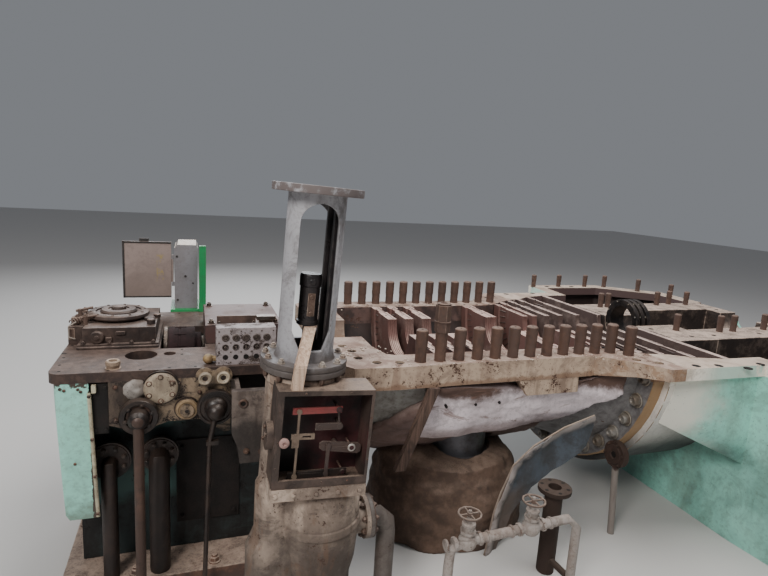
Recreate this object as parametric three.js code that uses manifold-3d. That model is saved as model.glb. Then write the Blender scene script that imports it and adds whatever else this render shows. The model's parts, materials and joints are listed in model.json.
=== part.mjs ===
// Lower half of an opened condensing steam turbine: front pedestal, stop valve stand, casing with
// its diaphragms, and the exhaust hood. Millimetres, +Z up. The turbine axis runs along X at Y = 0,
// the near side is -Y, and the origin is on the ground under the front pedestal.

import * as THREE from 'three';
import { ConvexGeometry } from 'three/addons/geometries/ConvexGeometry.js';
import { mergeVertices } from 'three/addons/utils/BufferGeometryUtils.js';
import Module from 'manifold-3d';

const wasm = await Module();
wasm.setup();

// Driving dimensions

const axisHeight = 1250;
const flangeThickness = 130;
const flangeUnderside = axisHeight - flangeThickness;
const studPitch = 120;
const studRadius = 35.5;
const studHeight = 187;
const studSide = 752;
const fitGap = 0.3;
const ringSegments = 48;

const pedestalLeft = -560;
const pedestalRight = 655;
const pedestalNear = -680;
const pedestalFar = 560;
const bedplateHeight = 100;
const topPlateUnderside = axisHeight - 50;
const housingNear = -440;
const housingFar = 540;
const sumpTop = 1030;
const shaftBore = 95;

const casingFront = 858;
const casingRadius = 740;
const cavityRadius = 620;
const glandRadius = 215;
const diaphragmBore = 205;
const joinX = 2860;
const joinRadius = 1000;

const drumRadius = 1040;
const drumWall = 39.7;
const hoodFront = 2905;
const hoodStep = 3492;
const hoodRear = 4920;
const hoodWall = 30;
const bearingHalfWidth = 600;

const standX = 548;
const standY = -1060;
const standLean = THREE.MathUtils.degToRad(2.9);
const leanCentreX = 617;
const boxLeft = 402;
const boxRight = 832;
const boxNear = -1300;
const boxFar = -1140;
const boxBottom = 882;
const boxTop = 1330;
const yokeSeat = 1360;
const spindleRadius = 20;
const spindleHole = 27;
const spindleGuide = 20.5;
const leverNear = -1246;
const leverFar = -1236;
const pinRadius = 6;

// Solids made from closed three.js geometries, and turned back into a mesh at the end

function solidOf(geometry) {
  const bare = geometry.clone();
  bare.deleteAttribute('normal');
  bare.deleteAttribute('uv');
  const merged = mergeVertices(bare, 0.0001);
  return new wasm.Manifold(new wasm.Mesh({
    numProp: 3,
    vertProperties: new Float32Array(merged.attributes.position.array),
    triVerts: new Uint32Array(merged.index.array),
  }));
}

function geometryOf(solid) {
  const mesh = solid.getMesh();
  const geometry = new THREE.BufferGeometry();
  geometry.setAttribute('position', new THREE.BufferAttribute(mesh.vertProperties, 3));
  geometry.setIndex(new THREE.BufferAttribute(mesh.triVerts, 1));
  geometry.computeVertexNormals();
  return geometry;
}

function block(x0, x1, y0, y1, z0, z1) {
  const geometry = new THREE.BoxGeometry(x1 - x0, y1 - y0, z1 - z0);
  geometry.translate((x0 + x1) / 2, (y0 + y1) / 2, (z0 + z1) / 2);
  return solidOf(geometry);
}

function rod(from, to, radius, sides = 16) {
  const start = new THREE.Vector3(...from);
  const end = new THREE.Vector3(...to);
  const along = end.clone().sub(start);
  const geometry = new THREE.CylinderGeometry(radius, radius, along.length(), sides);
  const upright = new THREE.Vector3(0, 1, 0);
  const turn = new THREE.Quaternion().setFromUnitVectors(upright, along.normalize());
  geometry.applyQuaternion(turn);
  geometry.translate(...start.add(end).multiplyScalar(0.5).toArray());
  return solidOf(geometry);
}

function ball(centre, radius) {
  const geometry = new THREE.SphereGeometry(radius, 14, 9);
  geometry.translate(...centre);
  return solidOf(geometry);
}

// An outline in the two axes across the prism, in the order x, y, z
const prismFrames = {
  x: (start) => new THREE.Matrix4().set(0, 0, 1, start, 1, 0, 0, 0, 0, 1, 0, 0, 0, 0, 0, 1),
  y: (start, end) => new THREE.Matrix4().set(1, 0, 0, 0, 0, 0, -1, end, 0, 1, 0, 0, 0, 0, 0, 1),
  z: (start) => new THREE.Matrix4().set(1, 0, 0, 0, 0, 1, 0, 0, 0, 0, 1, start, 0, 0, 0, 1),
};

function prism(axis, start, end, outline) {
  const shape = outline instanceof THREE.Shape
    ? outline
    : new THREE.Shape(outline.map(([a, b]) => new THREE.Vector2(a, b)));
  const settings = { depth: end - start, bevelEnabled: false, curveSegments: 8 };
  const geometry = new THREE.ExtrudeGeometry(shape, settings);
  geometry.applyMatrix4(prismFrames[axis](start, end));
  return solidOf(geometry);
}

// A full turn about +Y, from a closed profile of [radius, height] points
function turned(profile, segments) {
  const points = profile.map(([radius, height]) => new THREE.Vector2(radius, height));
  if (THREE.ShapeUtils.area(points) < 0) points.reverse();
  if (points.every((point) => point.x > 0)) {
    points.push(points[0]);
  } else {
    while (points[0].x > 0 || points.at(-1).x > 0) points.push(points.shift());
  }
  return new THREE.LatheGeometry(points, segments);
}

// A full turn about the turbine axis, from [x, radius] points
function turnedOnAxis(profile) {
  const geometry = turned(profile.map(([x, radius]) => [radius, x]), ringSegments);
  geometry.rotateZ(-Math.PI / 2);
  geometry.translate(0, 0, axisHeight);
  return solidOf(geometry);
}

// A full turn about an upright line, from [radius, z] points
function turnedUpright(x, y, profile, segments = 24) {
  const geometry = turned(profile, segments);
  geometry.rotateX(Math.PI / 2);
  geometry.translate(x, y, 0);
  return solidOf(geometry);
}

// A round pipe along straight runs joined by bends
function pipe(points, radius, bend, sides = 12) {
  const path = new THREE.CurvePath();
  const corners = points.map((point) => new THREE.Vector3(...point));
  let from = corners[0];
  for (let i = 1; i < corners.length - 1; i += 1) {
    const corner = corners[i];
    const bendStart = corner.clone().sub(corner.clone().sub(from).setLength(bend));
    const bendEnd = corner.clone().add(corners[i + 1].clone().sub(corner).setLength(bend));
    path.add(new THREE.LineCurve3(from, bendStart));
    path.add(new THREE.QuadraticBezierCurve3(bendStart, corner, bendEnd));
    from = bendEnd;
  }
  path.add(new THREE.LineCurve3(from, corners.at(-1)));
  const section = new THREE.Shape();
  section.absarc(0, 0, radius, 0, Math.PI * 2);
  const steps = points.length * 4;
  const settings = { steps, curveSegments: sides / 2, extrudePath: path, bevelEnabled: false };
  return solidOf(new THREE.ExtrudeGeometry(section, settings));
}

function joined(first, ...others) {
  return others.reduce((sum, solid) => sum.add(solid), first);
}

function cut(body, ...tools) {
  return tools.reduce((left, tool) => left.subtract(tool), body);
}

function convex(points) {
  return solidOf(new ConvexGeometry(points.map((point) => new THREE.Vector3(...point))));
}

const turbine = new THREE.Group();

function addPart(name, solid, color, roughness = 0.7, metalness = 0.3) {
  const material = new THREE.MeshStandardMaterial({ color, roughness, metalness });
  const mesh = new THREE.Mesh(geometryOf(solid), material);
  mesh.name = name;
  turbine.add(mesh);
}

const oilySteel = 0x3a2c28;
const rustyIron = 0x6b5148;
const dustyIron = 0x9c887c;
const palePaint = 0xb9b4b2;
const greyPaint = 0x8d8a8c;
const mintPaint = 0x9fd0c0;
const redPrimer = 0x6e3a35;

// Front pedestal: bedplate on the ground, oil housing and its drilled top plate

const troughLeft = -84;
const troughRight = 154;
const topHole = [-171, -425];
const topHoleRadius = 80;
const smallHole = [-30, -416];

function shaftGroove(x0, x1) {
  return turnedOnAxis([[x0, 0], [x1, 0], [x1, shaftBore], [x0, shaftBore]]);
}

function couplingTrough(bottom) {
  return block(troughLeft, troughRight, -320, 150, bottom, axisHeight + 10);
}

function upright(at, radius, z0, z1, sides = 16) {
  return rod([...at, z0], [...at, z1], radius, sides);
}

addPart('pedestal_bedplate', block(pedestalLeft, pedestalRight, pedestalNear, pedestalFar, 0,
  bedplateHeight), rustyIron);

// The sump carries the guide bar that keeps the casing on the pedestal's centre line
addPart('pedestal_sump', joined(
  block(-480, 620, housingNear, housingFar, bedplateHeight, sumpTop),
  block(610, casingFront - fitGap, -60, 60, 930, 1020),
), oilySteel);

addPart('pedestal_housing', cut(
  block(-480, 620, housingNear, housingFar, sumpTop, topPlateUnderside),
  couplingTrough(sumpTop - 10),
  upright(topHole, topHoleRadius, sumpTop - 10, topPlateUnderside + 10),
  shaftGroove(troughLeft, pedestalRight + 10),
), oilySteel);

const couplingAxis = { y: -90, z: 1190 };
function couplingDisc(x0, x1, radius, sides = 28) {
  const { y, z } = couplingAxis;
  return rod([x0, y, z], [x1, y, z], radius, sides);
}
addPart('shaft_coupling', joined(
  couplingDisc(troughLeft + fitGap, troughRight - fitGap, 40, 20),
  couplingDisc(-74, -48, 124),
  couplingDisc(-60, 100, 117),
  couplingDisc(90, 138, 84),
), redPrimer);

const plateOutline = new THREE.Shape();
const plateCorner = 60;
plateOutline.moveTo(pedestalLeft + plateCorner, pedestalNear);
plateOutline.lineTo(pedestalRight, pedestalNear);
plateOutline.lineTo(pedestalRight, pedestalFar);
plateOutline.lineTo(pedestalLeft, pedestalFar);
plateOutline.lineTo(pedestalLeft, pedestalNear + plateCorner);
plateOutline.absarc(pedestalLeft + plateCorner, pedestalNear + plateCorner, plateCorner,
  Math.PI, Math.PI * 1.5, false);
const oilCup = [-283, -618];
addPart('pedestal_top_plate', cut(
  joined(
    prism('z', topPlateUnderside, axisHeight, plateOutline),
    upright(oilCup, 34, axisHeight - 5, 1262),
    upright(oilCup, 19, 1258, 1346),
  ),
  couplingTrough(1000),
  upright(topHole, topHoleRadius, 1100, axisHeight + 10),
  upright(smallHole, 32, 1100, axisHeight + 10, 12),
  shaftGroove(troughLeft, pedestalRight + 10),
), dustyIron);

// Mint sheet panel round the pedestal's corner, which narrows downwards
const panelFront = [[-506, 520], [-488, 490], [-362, 490], [-385, topPlateUnderside],
  [-540, topPlateUnderside]];
const panelPlan = new THREE.Shape();
const panelCorner = 50;
panelPlan.moveTo(-540, housingNear - fitGap);
panelPlan.lineTo(-540, pedestalNear + 2 + panelCorner);
panelPlan.absarc(-540 + panelCorner, pedestalNear + 2 + panelCorner, panelCorner,
  Math.PI, Math.PI * 1.5, false);
panelPlan.lineTo(-340, pedestalNear + 2);
panelPlan.lineTo(-340, -652);
panelPlan.lineTo(-478, -652);
panelPlan.lineTo(-478, housingNear - fitGap);
addPart('corner_panel', prism('y', -700, housingNear, panelFront)
  .intersect(prism('z', 400, topPlateUnderside, panelPlan)), mintPaint);

// Oil block on the pedestal front, with the covers, caps and pipes that are bolted to it

const oilBlockLeft = -300;
const oilBlockRight = 273;
const oilBlockOutline = [[oilBlockLeft, 975], [-240, 955], [-90, 955], [-30, 975], [130, 975],
  [190, 930], [240, 895], [oilBlockRight, 900], [oilBlockRight, topPlateUnderside],
  [oilBlockLeft, topPlateUnderside]];
function outwardDisc(x, z, radius, near, far, sides = 24) {
  return rod([x, near, z], [x, far, z], radius, sides);
}

const coverBack = pedestalNear - fitGap;
const twinCapLeft = 146;
const twinCapRight = 234;
const twinCapHeight = 1206;
addPart('oil_block', cut(
  joined(
    prism('y', pedestalNear, housingNear - fitGap, oilBlockOutline),
    outwardDisc(-62, 1160, 80, -700, coverBack),
    block(-110, -14, -690, pedestalNear + 5, 1120, topPlateUnderside - fitGap),
    outwardDisc(59, 1040, 55, -700, pedestalNear + 5),
    outwardDisc(59, 1040, 34, -722, coverBack, 16),
    block(twinCapLeft, twinCapRight, -694, coverBack, twinCapHeight - 40, twinCapHeight + 30),
    block(twinCapLeft, twinCapRight, -690, pedestalNear + 5, twinCapHeight - 38,
      topPlateUnderside - fitGap),
    outwardDisc(twinCapLeft, twinCapHeight, 46, -694, coverBack),
    outwardDisc(twinCapRight, twinCapHeight, 46, -694, coverBack),
    outwardDisc(twinCapLeft, twinCapHeight, 30, -716, coverBack, 16),
    outwardDisc(twinCapRight, twinCapHeight, 30, -716, coverBack, 16),
  ),
  upright(topHole, topHoleRadius, sumpTop, topPlateUnderside + 10),
), dustyIron);

const drainElbowX = -160;
const drainElbowHeight = 1037;
addPart('drain_elbow', joined(
  outwardDisc(drainElbowX, drainElbowHeight, 50, -725, pedestalNear - fitGap, 16),
  outwardDisc(drainElbowX, drainElbowHeight, 80, -748, -722),
  ball([drainElbowX, -790, drainElbowHeight], 38),
  rod([drainElbowX, -790, drainElbowHeight], [drainElbowX, -740, drainElbowHeight], 32),
  rod([drainElbowX, -790, drainElbowHeight], [drainElbowX, -790, 0], 24),
), oilySteel);

const ballSocketX = 198;
const ballSocketHeight = 1051;
addPart('ball_actuator', joined(
  outwardDisc(ballSocketX, ballSocketHeight, 60, -706, pedestalNear - fitGap),
  outwardDisc(ballSocketX, ballSocketHeight, 85, -728, -704),
  ball([ballSocketX, -748, ballSocketHeight - 14], 48),
  rod([ballSocketX, -760, ballSocketHeight - 20], [168, -750, 880], 14, 12),
  block(150, 210, -764, -736, 862, 884),
  rod([168, -750, 880], [142, -750, 0], 12, 12),
), oilySteel);

// Two oil pipes that come out of the housing and turn down to the bedplate
const pipeHeads = [
  { name: 'oil_pipe_left', x: -318, z: 723, head: 93, radius: 39 },
  { name: 'oil_pipe_right', x: -80, z: 735, head: 88, radius: 52 },
];
for (const { name, x, z, head, radius } of pipeHeads) {
  addPart(name, joined(
    outwardDisc(x, z, radius + 14, -520, housingNear - fitGap),
    outwardDisc(x, z, head, -560, -518),
    pipe([[x, -540, z], [x, -610, z], [x, -610, bedplateHeight + fitGap]], radius, 60),
  ), rustyIron);
}

// On the top plate: port block, bearing cap, governor casing and oil cup

const portBlockNear = -660;
const portColumns = [246, 298, 350, 402, 454];
const portRows = [1292, 1345, 1396];
const portHoles = portColumns.flatMap((x) => portRows.map((z) =>
  outwardDisc(x, z, 13, portBlockNear - 5, portBlockNear + 25, 8)));
addPart('port_block', cut(
  block(200, 503, portBlockNear, -560, axisHeight, 1447),
  ...portHoles,
), palePaint);

addPart('front_bearing_cap', cut(
  joined(
    block(155, 600, -260, 300, axisHeight, 1360),
    block(222, 437, -255, -238, 1350, 1413),
  ),
  shaftGroove(100, 640),
), redPrimer);

const governorX = -320;
const governorY = -20;
addPart('governor_casing', joined(
  block(-497, -92, -290, 230, axisHeight, 1276),
  block(-472, -108, -268, 208, 1270, 1362),
  block(-556, -480, -190, 20, axisHeight, 1352),
  outwardDisc(-402, 1312, 34, -286, -260),
  upright([governorX, governorY], 128, 1355, 1380, 24),
  upright([governorX, governorY], 160, 1376, 1396, 28),
  upright([governorX, governorY], 92, 1390, 1410, 24),
  block(governorX - 30, governorX + 30, governorY - 30, governorY + 30, 1400, 1424),
), rustyIron);

// Local panel box on a bracket behind the pedestal, with its door standing open

const panelNear = 596;
const panelFar = 940;
const panelLeft = -32;
const panelRight = 122;
const panelBottom = 1268;
const panelTop = 1700;
const panelWall = 8;
const hingeX = -44;
const hingeRadius = 6;
const doorBottom = 1349;
const doorTop = 1741;
const knuckles = [[1430, 1460 - fitGap], [1620 + fitGap, 1650]];

addPart('panel_box_bracket', joined(
  block(-60, 182, pedestalFar, 900, 1250 + fitGap, panelBottom - fitGap),
  block(-60, 182, pedestalFar, 574, 1120, 1260),
  block(131, 178, 545, 580, axisHeight + fitGap, 1723),
), 0x2f8a55);

const panelShell = cut(
  block(panelLeft, panelRight, panelNear, panelFar, panelBottom, panelTop),
  block(panelLeft - 10, panelRight - panelWall, panelNear + panelWall, panelFar - panelWall,
    panelBottom + panelWall, panelTop - panelWall),
);
const panelHood = prism('y', panelNear, panelFar, [[panelLeft, panelTop - 4],
  [panelRight, panelTop - 4], [panelRight - 10, 1722], [panelLeft + 20, 1722]]);
addPart('panel_box', joined(
  panelShell,
  panelHood,
  ...knuckles.flatMap(([z0, z1]) => [
    upright([hingeX, panelNear], hingeRadius, z0, z1, 12),
    block(hingeX, panelLeft + 2, panelNear, panelNear + 4, z0, z1),
  ]),
), greyPaint);

addPart('panel_box_door', joined(
  block(-362, -52, 590, 602, doorBottom, doorTop),
  block(-54, hingeX, 594, 598, 1460, 1620),
  upright([hingeX, panelNear], hingeRadius, 1460, 1620, 12),
  block(-250, -200, 592, 600, doorTop - 4, doorTop + 20),
), greyPaint);

// Stop valve stand, which leans a little towards the casing: linkage box, yoke, spindle and the
// timber left standing in it. Its pieces are made upright and then turned about one line.

function leaned(solid) {
  const geometry = geometryOf(solid);
  geometry.translate(-leanCentreX, 0, -boxBottom);
  geometry.rotateY(standLean);
  geometry.translate(leanCentreX, 0, boxBottom);
  return solidOf(geometry);
}

const boxCavity = block(boxLeft + 22, boxRight - 12, -1285, boxFar - 15, 889, boxTop - 12);
const boxMouth = block(430, 817, boxNear - 10, -1280, 921, 1307);
const leverPivots = { upper: [688, 1220], right: [762, 1036], lower: [730, 920] };

function pivotPost([x, z]) {
  return joined(
    rod([x, leverNear - 6, z], [x, boxFar - 5, z], pinRadius, 12),
    rod([x, leverNear - 6, z], [x, leverNear - fitGap, z], 11, 12),
  );
}

addPart('linkage_box', leaned(joined(
  cut(
    joined(
      block(boxLeft, boxRight, boxNear, boxFar, boxBottom, boxTop),
      rod([boxLeft - 30, -1215, 1098], [boxLeft + 4, -1215, 1098], 62, 20),
    ),
    boxCavity,
    boxMouth,
  ),
  ...Object.values(leverPivots).map(pivotPost),
)), dustyIron);

const yokeRadius = 130;
const yokeWall = 26;
const yokeFlange = 199;
const yokeBase = yokeSeat + 55;
const yokeTop = 2155;
const windowHalf = 86;
const sillHalf = 50;
const sillHeight = 1468;
const windowShape = new THREE.Shape();
windowShape.moveTo(standX - sillHalf, sillHeight);
windowShape.lineTo(standX + sillHalf, sillHeight);
windowShape.lineTo(standX + windowHalf, 1555);
windowShape.lineTo(standX + windowHalf, 2030);
windowShape.absarc(standX, 2030, windowHalf, 0, Math.PI, false);
windowShape.lineTo(standX - windowHalf, 1555);
addPart('actuator_yoke', leaned(cut(
  joined(
    turnedUpright(standX, standY, [[spindleGuide, yokeSeat], [yokeFlange, yokeSeat],
      [yokeFlange, 1384], [yokeFlange - 5, 1387], [yokeFlange, 1390], [yokeFlange, yokeBase],
      [spindleGuide, yokeBase]], 28),
    turnedUpright(standX, standY, [[yokeRadius - yokeWall, yokeBase - 5], [142, yokeBase - 5],
      [yokeRadius, yokeBase + 30], [yokeRadius, yokeTop + 5], [yokeRadius - yokeWall, yokeTop + 5]],
    28),
    turnedUpright(standX, standY, [[60, yokeTop], [204, yokeTop], [204, 2190], [60, 2190]], 28),
  ),
  prism('y', standY - 210, standY + 210, windowShape),
)), palePaint);

addPart('valve_spindle', leaned(joined(
  upright([standX, standY], spindleRadius, 640, 1790),
  upright([standX, standY], 46, 1565, 1800, 18),
)), oilySteel);

// A short timber block on the box, and a baulk that leans from it over the sill of the yoke
const timberHalf = [24, 15];
function timberCorners([x, y, z]) {
  const [halfX, halfY] = timberHalf;
  return [[x - halfX, y - halfY, z], [x + halfX, y - halfY, z], [x + halfX, y + halfY, z],
    [x - halfX, y + halfY, z]];
}
addPart('timber_baulk', leaned(joined(
  convex([...timberCorners([481, -1279, boxTop + fitGap]), ...timberCorners([490, -1276, 1438])]),
  convex([...timberCorners([489, -1278, 1428]), ...timberCorners([547, -1133, 1566])]),
)), 0xb59a80);

// Levers behind the open front of the linkage box

function leverPlate(outline, holes) {
  const plate = prism('y', leverNear, leverFar, outline);
  return cut(plate, ...holes.map(([x, z, radius]) =>
    rod([x, leverNear - 5, z], [x, leverFar + 5, z], radius, 12)));
}

const pivotHole = pinRadius + 0.5;
const looseHole = 9;
const linkPin = 5;
const linkTop = [508, 1216];
const linkFoot = [508, 911];
const slottedTop = [651, 1050];
const slottedFoot = [651, 917];

addPart('upper_lever', leaned(leverPlate(
  [[478, 1201], [700, 1205], [704, 1234], [480, 1231]],
  [[...leverPivots.upper, pivotHole], [...linkTop, looseHole]],
)), 0x8a3b35);

addPart('right_lever', leaned(leverPlate(
  [[612, 1040], [628, 1027], [794, 1006], [806, 1018], [806, 1045], [790, 1056], [626, 1071],
    [612, 1062]],
  [[...leverPivots.right, pivotHole], [...slottedTop, looseHole]],
)), dustyIron);

addPart('lower_lever', leaned(leverPlate(
  [[474, 897], [746, 904], [748, 936], [478, 927]],
  [[...leverPivots.lower, pivotHole], [...linkFoot, looseHole], [...slottedFoot, looseHole]],
)), oilySteel);

const linkNear = leverNear - 8 - fitGap;
const linkFar = leverNear - fitGap;
function pinnedEye([x, z]) {
  return joined(
    rod([x, linkNear, z], [x, linkFar, z], 12, 14),
    rod([x, linkFar - 4, z], [x, leverFar + 2, z], linkPin, 10),
  );
}

addPart('link_rod', leaned(joined(
  pinnedEye(linkTop),
  block(503, 513, linkNear, linkFar, 1100, 1214),
  cut(
    block(480, 584, linkNear, linkFar, 1088, 1114),
    block(530, 568, linkNear - 5, linkFar + 5, 1096, 1106),
  ),
  block(484, 516, linkNear, linkFar, 1050, 1092),
  block(503, 513, linkNear, linkFar, 915, 1055),
  pinnedEye(linkFoot),
)), palePaint);

addPart('slotted_link', leaned(joined(
  pinnedEye(slottedTop),
  block(643, 659, linkNear, linkFar, 920, 1046),
  pinnedEye(slottedFoot),
)), dustyIron);

// Valve body with its bonnet behind the box, its outlet, and the arm that ties it to the pedestal

const bodyX = 655;
const bodyY = -1092;
const outletY = -1110;
const outletHeight = 578;
const outletX = 1018;
const outletRadius = 48;
const bonnetRadius = 168;
addPart('valve_body', cut(
  joined(
    turnedUpright(bodyX, bodyY, [[0, 0], [175, 0], [175, 330], [196, 420], [208, 560], [208, 760],
      [170, 840], [0, 840]], 28),
    turnedUpright(462, -1098, [[0, 0], [145, 0], [145, 500], [108, 590], [104, 820], [74, 862],
      [0, 862]], 24),
    rod([820, outletY, outletHeight], [890, outletY, outletHeight], 78),
    rod([884, outletY, outletHeight], [904, outletY, outletHeight], 105, 24),
    leaned(block(398, 832, -1304, -1080, 826, boxBottom - fitGap)),
    leaned(cut(
      upright([standX, standY], bonnetRadius, 800, yokeSeat - fitGap, 24),
      block(300, 900, -1400, boxFar + fitGap, boxBottom - fitGap, yokeSeat),
    )),
  ),
  leaned(upright([standX, standY], spindleHole, 600, yokeSeat + 10)),
), palePaint);

addPart('outlet_elbow', joined(
  rod([904 + fitGap, outletY, outletHeight], [926, outletY, outletHeight], 105, 24),
  pipe([[920, outletY, outletHeight], [outletX, outletY, outletHeight], [outletX, outletY, 0]],
    outletRadius, 80, 16),
), greyPaint);

const armOutline = [[262, 1000], [300, 905], [300, 846], [500, 846], [500, 1215], [262, 1215]];
addPart('stand_arm', cut(
  joined(
    prism('y', -950, -910, armOutline),
    block(oilBlockRight + fitGap, 312, pedestalNear - 5, -450, 960, 1180),
    prism('x', 290, 312, [[-915, 920], [pedestalNear, 960], [pedestalNear, 1180], [-915, 1180]]),
    block(300, 500, -912, -760, 846, 950),
  ),
  leaned(upright([standX, standY], bonnetRadius + fitGap, 700, 1400, 24)),
  block(440, 600, -1000, -700, 800, 1300),
), rustyIron);

// Lower casing: half shell with the joint ring, and the two studded flanges on top of it

const cavityProfile = [[1114, 430], [1150, 590], [1200, cavityRadius], [2450, cavityRadius],
  [2563, 638], [2700, 739], [joinX, 830]];

function lowerShell(profile, top) {
  const above = block(0, 6000, -2000, 2000, top, 4000);
  return cut(turnedOnAxis(profile), above);
}

const ringFace = 2780;
const noseProfile = [[1250, casingRadius], [1100, 690], [1000, 600], [900, 430],
  [casingFront, 330]];
addPart('casing_shell', lowerShell([
  [casingFront, glandRadius], [1114, glandRadius], ...cavityProfile,
  [joinX, joinRadius], [ringFace, joinRadius], [ringFace, 880], [2720, 862], [2600, 812],
  [2450, 755], [2300, casingRadius], ...noseProfile,
], flangeUnderside), rustyIron);

const flangeNearEdge = [[casingFront, -764], [898, -819], [1147, -834], [1578, -822],
  [2460, -818], [2649, -984], [2747, -1130], [joinX, -1136]];
const farStudStart = 1284;
const nearStuds = [
  ...Array.from({ length: 11 }, (_, i) => [1300 + i * studPitch, -studSide]),
  [2615, -760], [2700, -830],
];
const farStuds = Array.from({ length: 12 }, (_, i) => [farStudStart + i * studPitch, studSide]);
const flangeHoles = [[936, -402], [968, -508], [966, -641], [1048, -733], [1177, -753],
  [2676, -925], [2777, -1004]];
const holeDepth = 60;

function studded(flange, studs, radius, height) {
  return joined(flange, ...studs.map((at) =>
    upright(at, radius, axisHeight - 5, axisHeight + height, 14)));
}

function flangeHalf(edge, opening, side) {
  const mirrored = edge.map(([x, y]) => [x, y * -side]);
  const ends = [[edge.at(-1)[0], 0], [edge[0][0], 0]];
  const outline = [...mirrored, ...ends];
  if (side > 0) outline.reverse();
  return cut(prism('z', flangeUnderside, axisHeight, outline), opening);
}

const casingOpening = turnedOnAxis([[casingFront - 50, 0], [casingFront - 50, glandRadius],
  [1114, glandRadius], ...cavityProfile, [joinX + 50, 858], [joinX + 50, 0]]);
const flangeLug = prism('y', -816, -745, [[1925, flangeUnderside], [1990, 1021], [2357, 1021],
  [2350, flangeUnderside]]);

// The flange grows thinner towards the exhaust end, where it overhangs the shell and its ring
const thinUnderside = 1174;
const overhang = cut(
  prism('y', -1700, 1700, [[2400, flangeUnderside - 20], [5000, flangeUnderside - 20],
    [5000, thinUnderside], [2740, thinUnderside], [2440, flangeUnderside]]),
  turnedOnAxis([[2300, 0], [2300, 760], [2450, 775], [2600, 832], [2720, 882], [2770, 900],
    [2770, joinRadius + 2], [joinX, joinRadius + 2], [joinX, 0]]),
  block(joinX, 5000, -1700, 1700, 0, 4000),
);

addPart('casing_near_flange', joined(
  studded(cut(
    flangeHalf(flangeNearEdge, casingOpening, -1),
    overhang,
    ...flangeHoles.map((at) => upright(at, 28, axisHeight - holeDepth, axisHeight + 10, 12)),
  ), nearStuds, studRadius, studHeight),
  flangeLug,
  upright(nearStuds[1], 47, axisHeight + 170, axisHeight + 337, 6),
), dustyIron);

addPart('casing_far_flange', studded(
  cut(flangeHalf(flangeNearEdge, casingOpening, 1), overhang),
  farStuds, studRadius, studHeight,
), dustyIron);

// Diaphragm halves: half rings that hang in the casing with their split faces at the joint

const diaphragms = [
  { x: 1445, thickness: 70, radius: cavityRadius, color: redPrimer },
  { x: 1578, thickness: 70, radius: cavityRadius, color: redPrimer },
  { x: 1716, thickness: 76, radius: cavityRadius, color: redPrimer },
  { x: 2256, thickness: 100, radius: cavityRadius, color: redPrimer },
  { x: 2596, thickness: 46, radius: 662, color: redPrimer },
  { x: 2690, thickness: 42, radius: 731, color: redPrimer },
  { x: 2806, thickness: 46, radius: 799, color: oilySteel },
  { x: 2940, thickness: 42, radius: 849, color: oilySteel },
  { x: 3110, thickness: 42, radius: 938, color: oilySteel },
];
for (const [index, { x, thickness, radius, color }] of diaphragms.entries()) {
  const outer = radius - fitGap;
  const ring = lowerShell([[x, diaphragmBore], [x + thickness, diaphragmBore],
    [x + thickness, outer], [x, outer]], axisHeight);
  addPart(`diaphragm_${index + 1}`, ring, color);
}

// Exhaust end: drum, end wall, hood walls down to the ground, and the hood's joint flanges

const drumBore = drumRadius - drumWall;
const hoodSeat = [[joinX, 830], [2990, 861], [3124, 947], [3320, drumBore], [3371, drumBore]];

addPart('exhaust_drum', lowerShell([
  [joinX + fitGap, 905], [2900, 905], [2900, drumBore],
  [hoodStep, drumBore], [hoodStep, drumRadius], [joinX + fitGap, drumRadius],
], flangeUnderside), palePaint);

addPart('exhaust_end_wall', lowerShell([
  [3330, diaphragmBore], [3370, diaphragmBore], [3370, drumBore - fitGap],
  [3330, drumBore - fitGap],
], axisHeight), oilySteel);

const cheekReach = 1120;
function hoodPlan(inset) {
  const wide = 1520 - inset;
  const near = [[hoodStep + inset, -cheekReach], [3530 + inset, -wide],
    [4390 - inset * 0.4, -wide], [hoodRear - inset, -1090 + inset * 0.6]];
  const far = near.map(([x, y]) => [x, -y]).reverse();
  return [...near, ...far];
}

// Each cheek spreads from the round drum to the flat hood, and is open underneath
const cheekFoot = { front: 826, rear: 556 };
function cheekBlank(side, inset, spill) {
  const hug = drumRadius + 4 - inset;
  const footAngle = Math.asin((axisHeight - cheekFoot.front) / hug);
  const arc = [0, 0.25, 0.5, 0.75, 1].map((share) => {
    const angle = footAngle * share;
    return [hoodFront, -side * Math.cos(angle) * hug, axisHeight - Math.sin(angle) * hug];
  });
  const rear = hoodStep + 5;
  const innerEdge = -side * 600;
  const outerEdge = -side * (cheekReach - inset);
  const top = axisHeight + spill;
  return convex([
    ...arc,
    [hoodFront, -side * hug, top],
    [hoodFront, innerEdge, top],
    [hoodFront, -side * Math.cos(footAngle) * hug, cheekFoot.front - spill],
    [hoodFront, innerEdge, cheekFoot.front - spill],
    [rear, outerEdge, top],
    [rear, innerEdge, top],
    [rear, outerEdge, cheekFoot.rear - spill],
    [rear, innerEdge, cheekFoot.rear - spill],
  ]);
}
function cheek(side) {
  return cut(cheekBlank(side, 0, 0), cheekBlank(side, hoodWall, 80));
}

const drumCore = turnedOnAxis([[2800, 0], [hoodStep + 60, 0], [hoodStep + 60, drumRadius + fitGap],
  [2800, drumRadius + fitGap]]);
const hoodShell = joined(
  cut(
    prism('z', 0, thinUnderside, hoodPlan(0)),
    prism('z', -10, thinUnderside + 10, hoodPlan(hoodWall)),
  ),
  block(hoodStep, hoodStep + hoodWall, -cheekReach, cheekReach, 0, thinUnderside),
  cheek(1),
  cheek(-1),
);
const aboveHood = block(2800, 5000, -1700, 1700, thinUnderside, 1400);
const sealRadius = 172;
const sealWay = turnedOnAxis([[3300, 0], [5000, 0], [5000, sealRadius + fitGap],
  [3300, sealRadius + fitGap]]);
// The shaft leaves through a notch in the hood's rear wall
addPart('exhaust_hood', cut(hoodShell, drumCore, sealWay, aboveHood), mintPaint);

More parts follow.
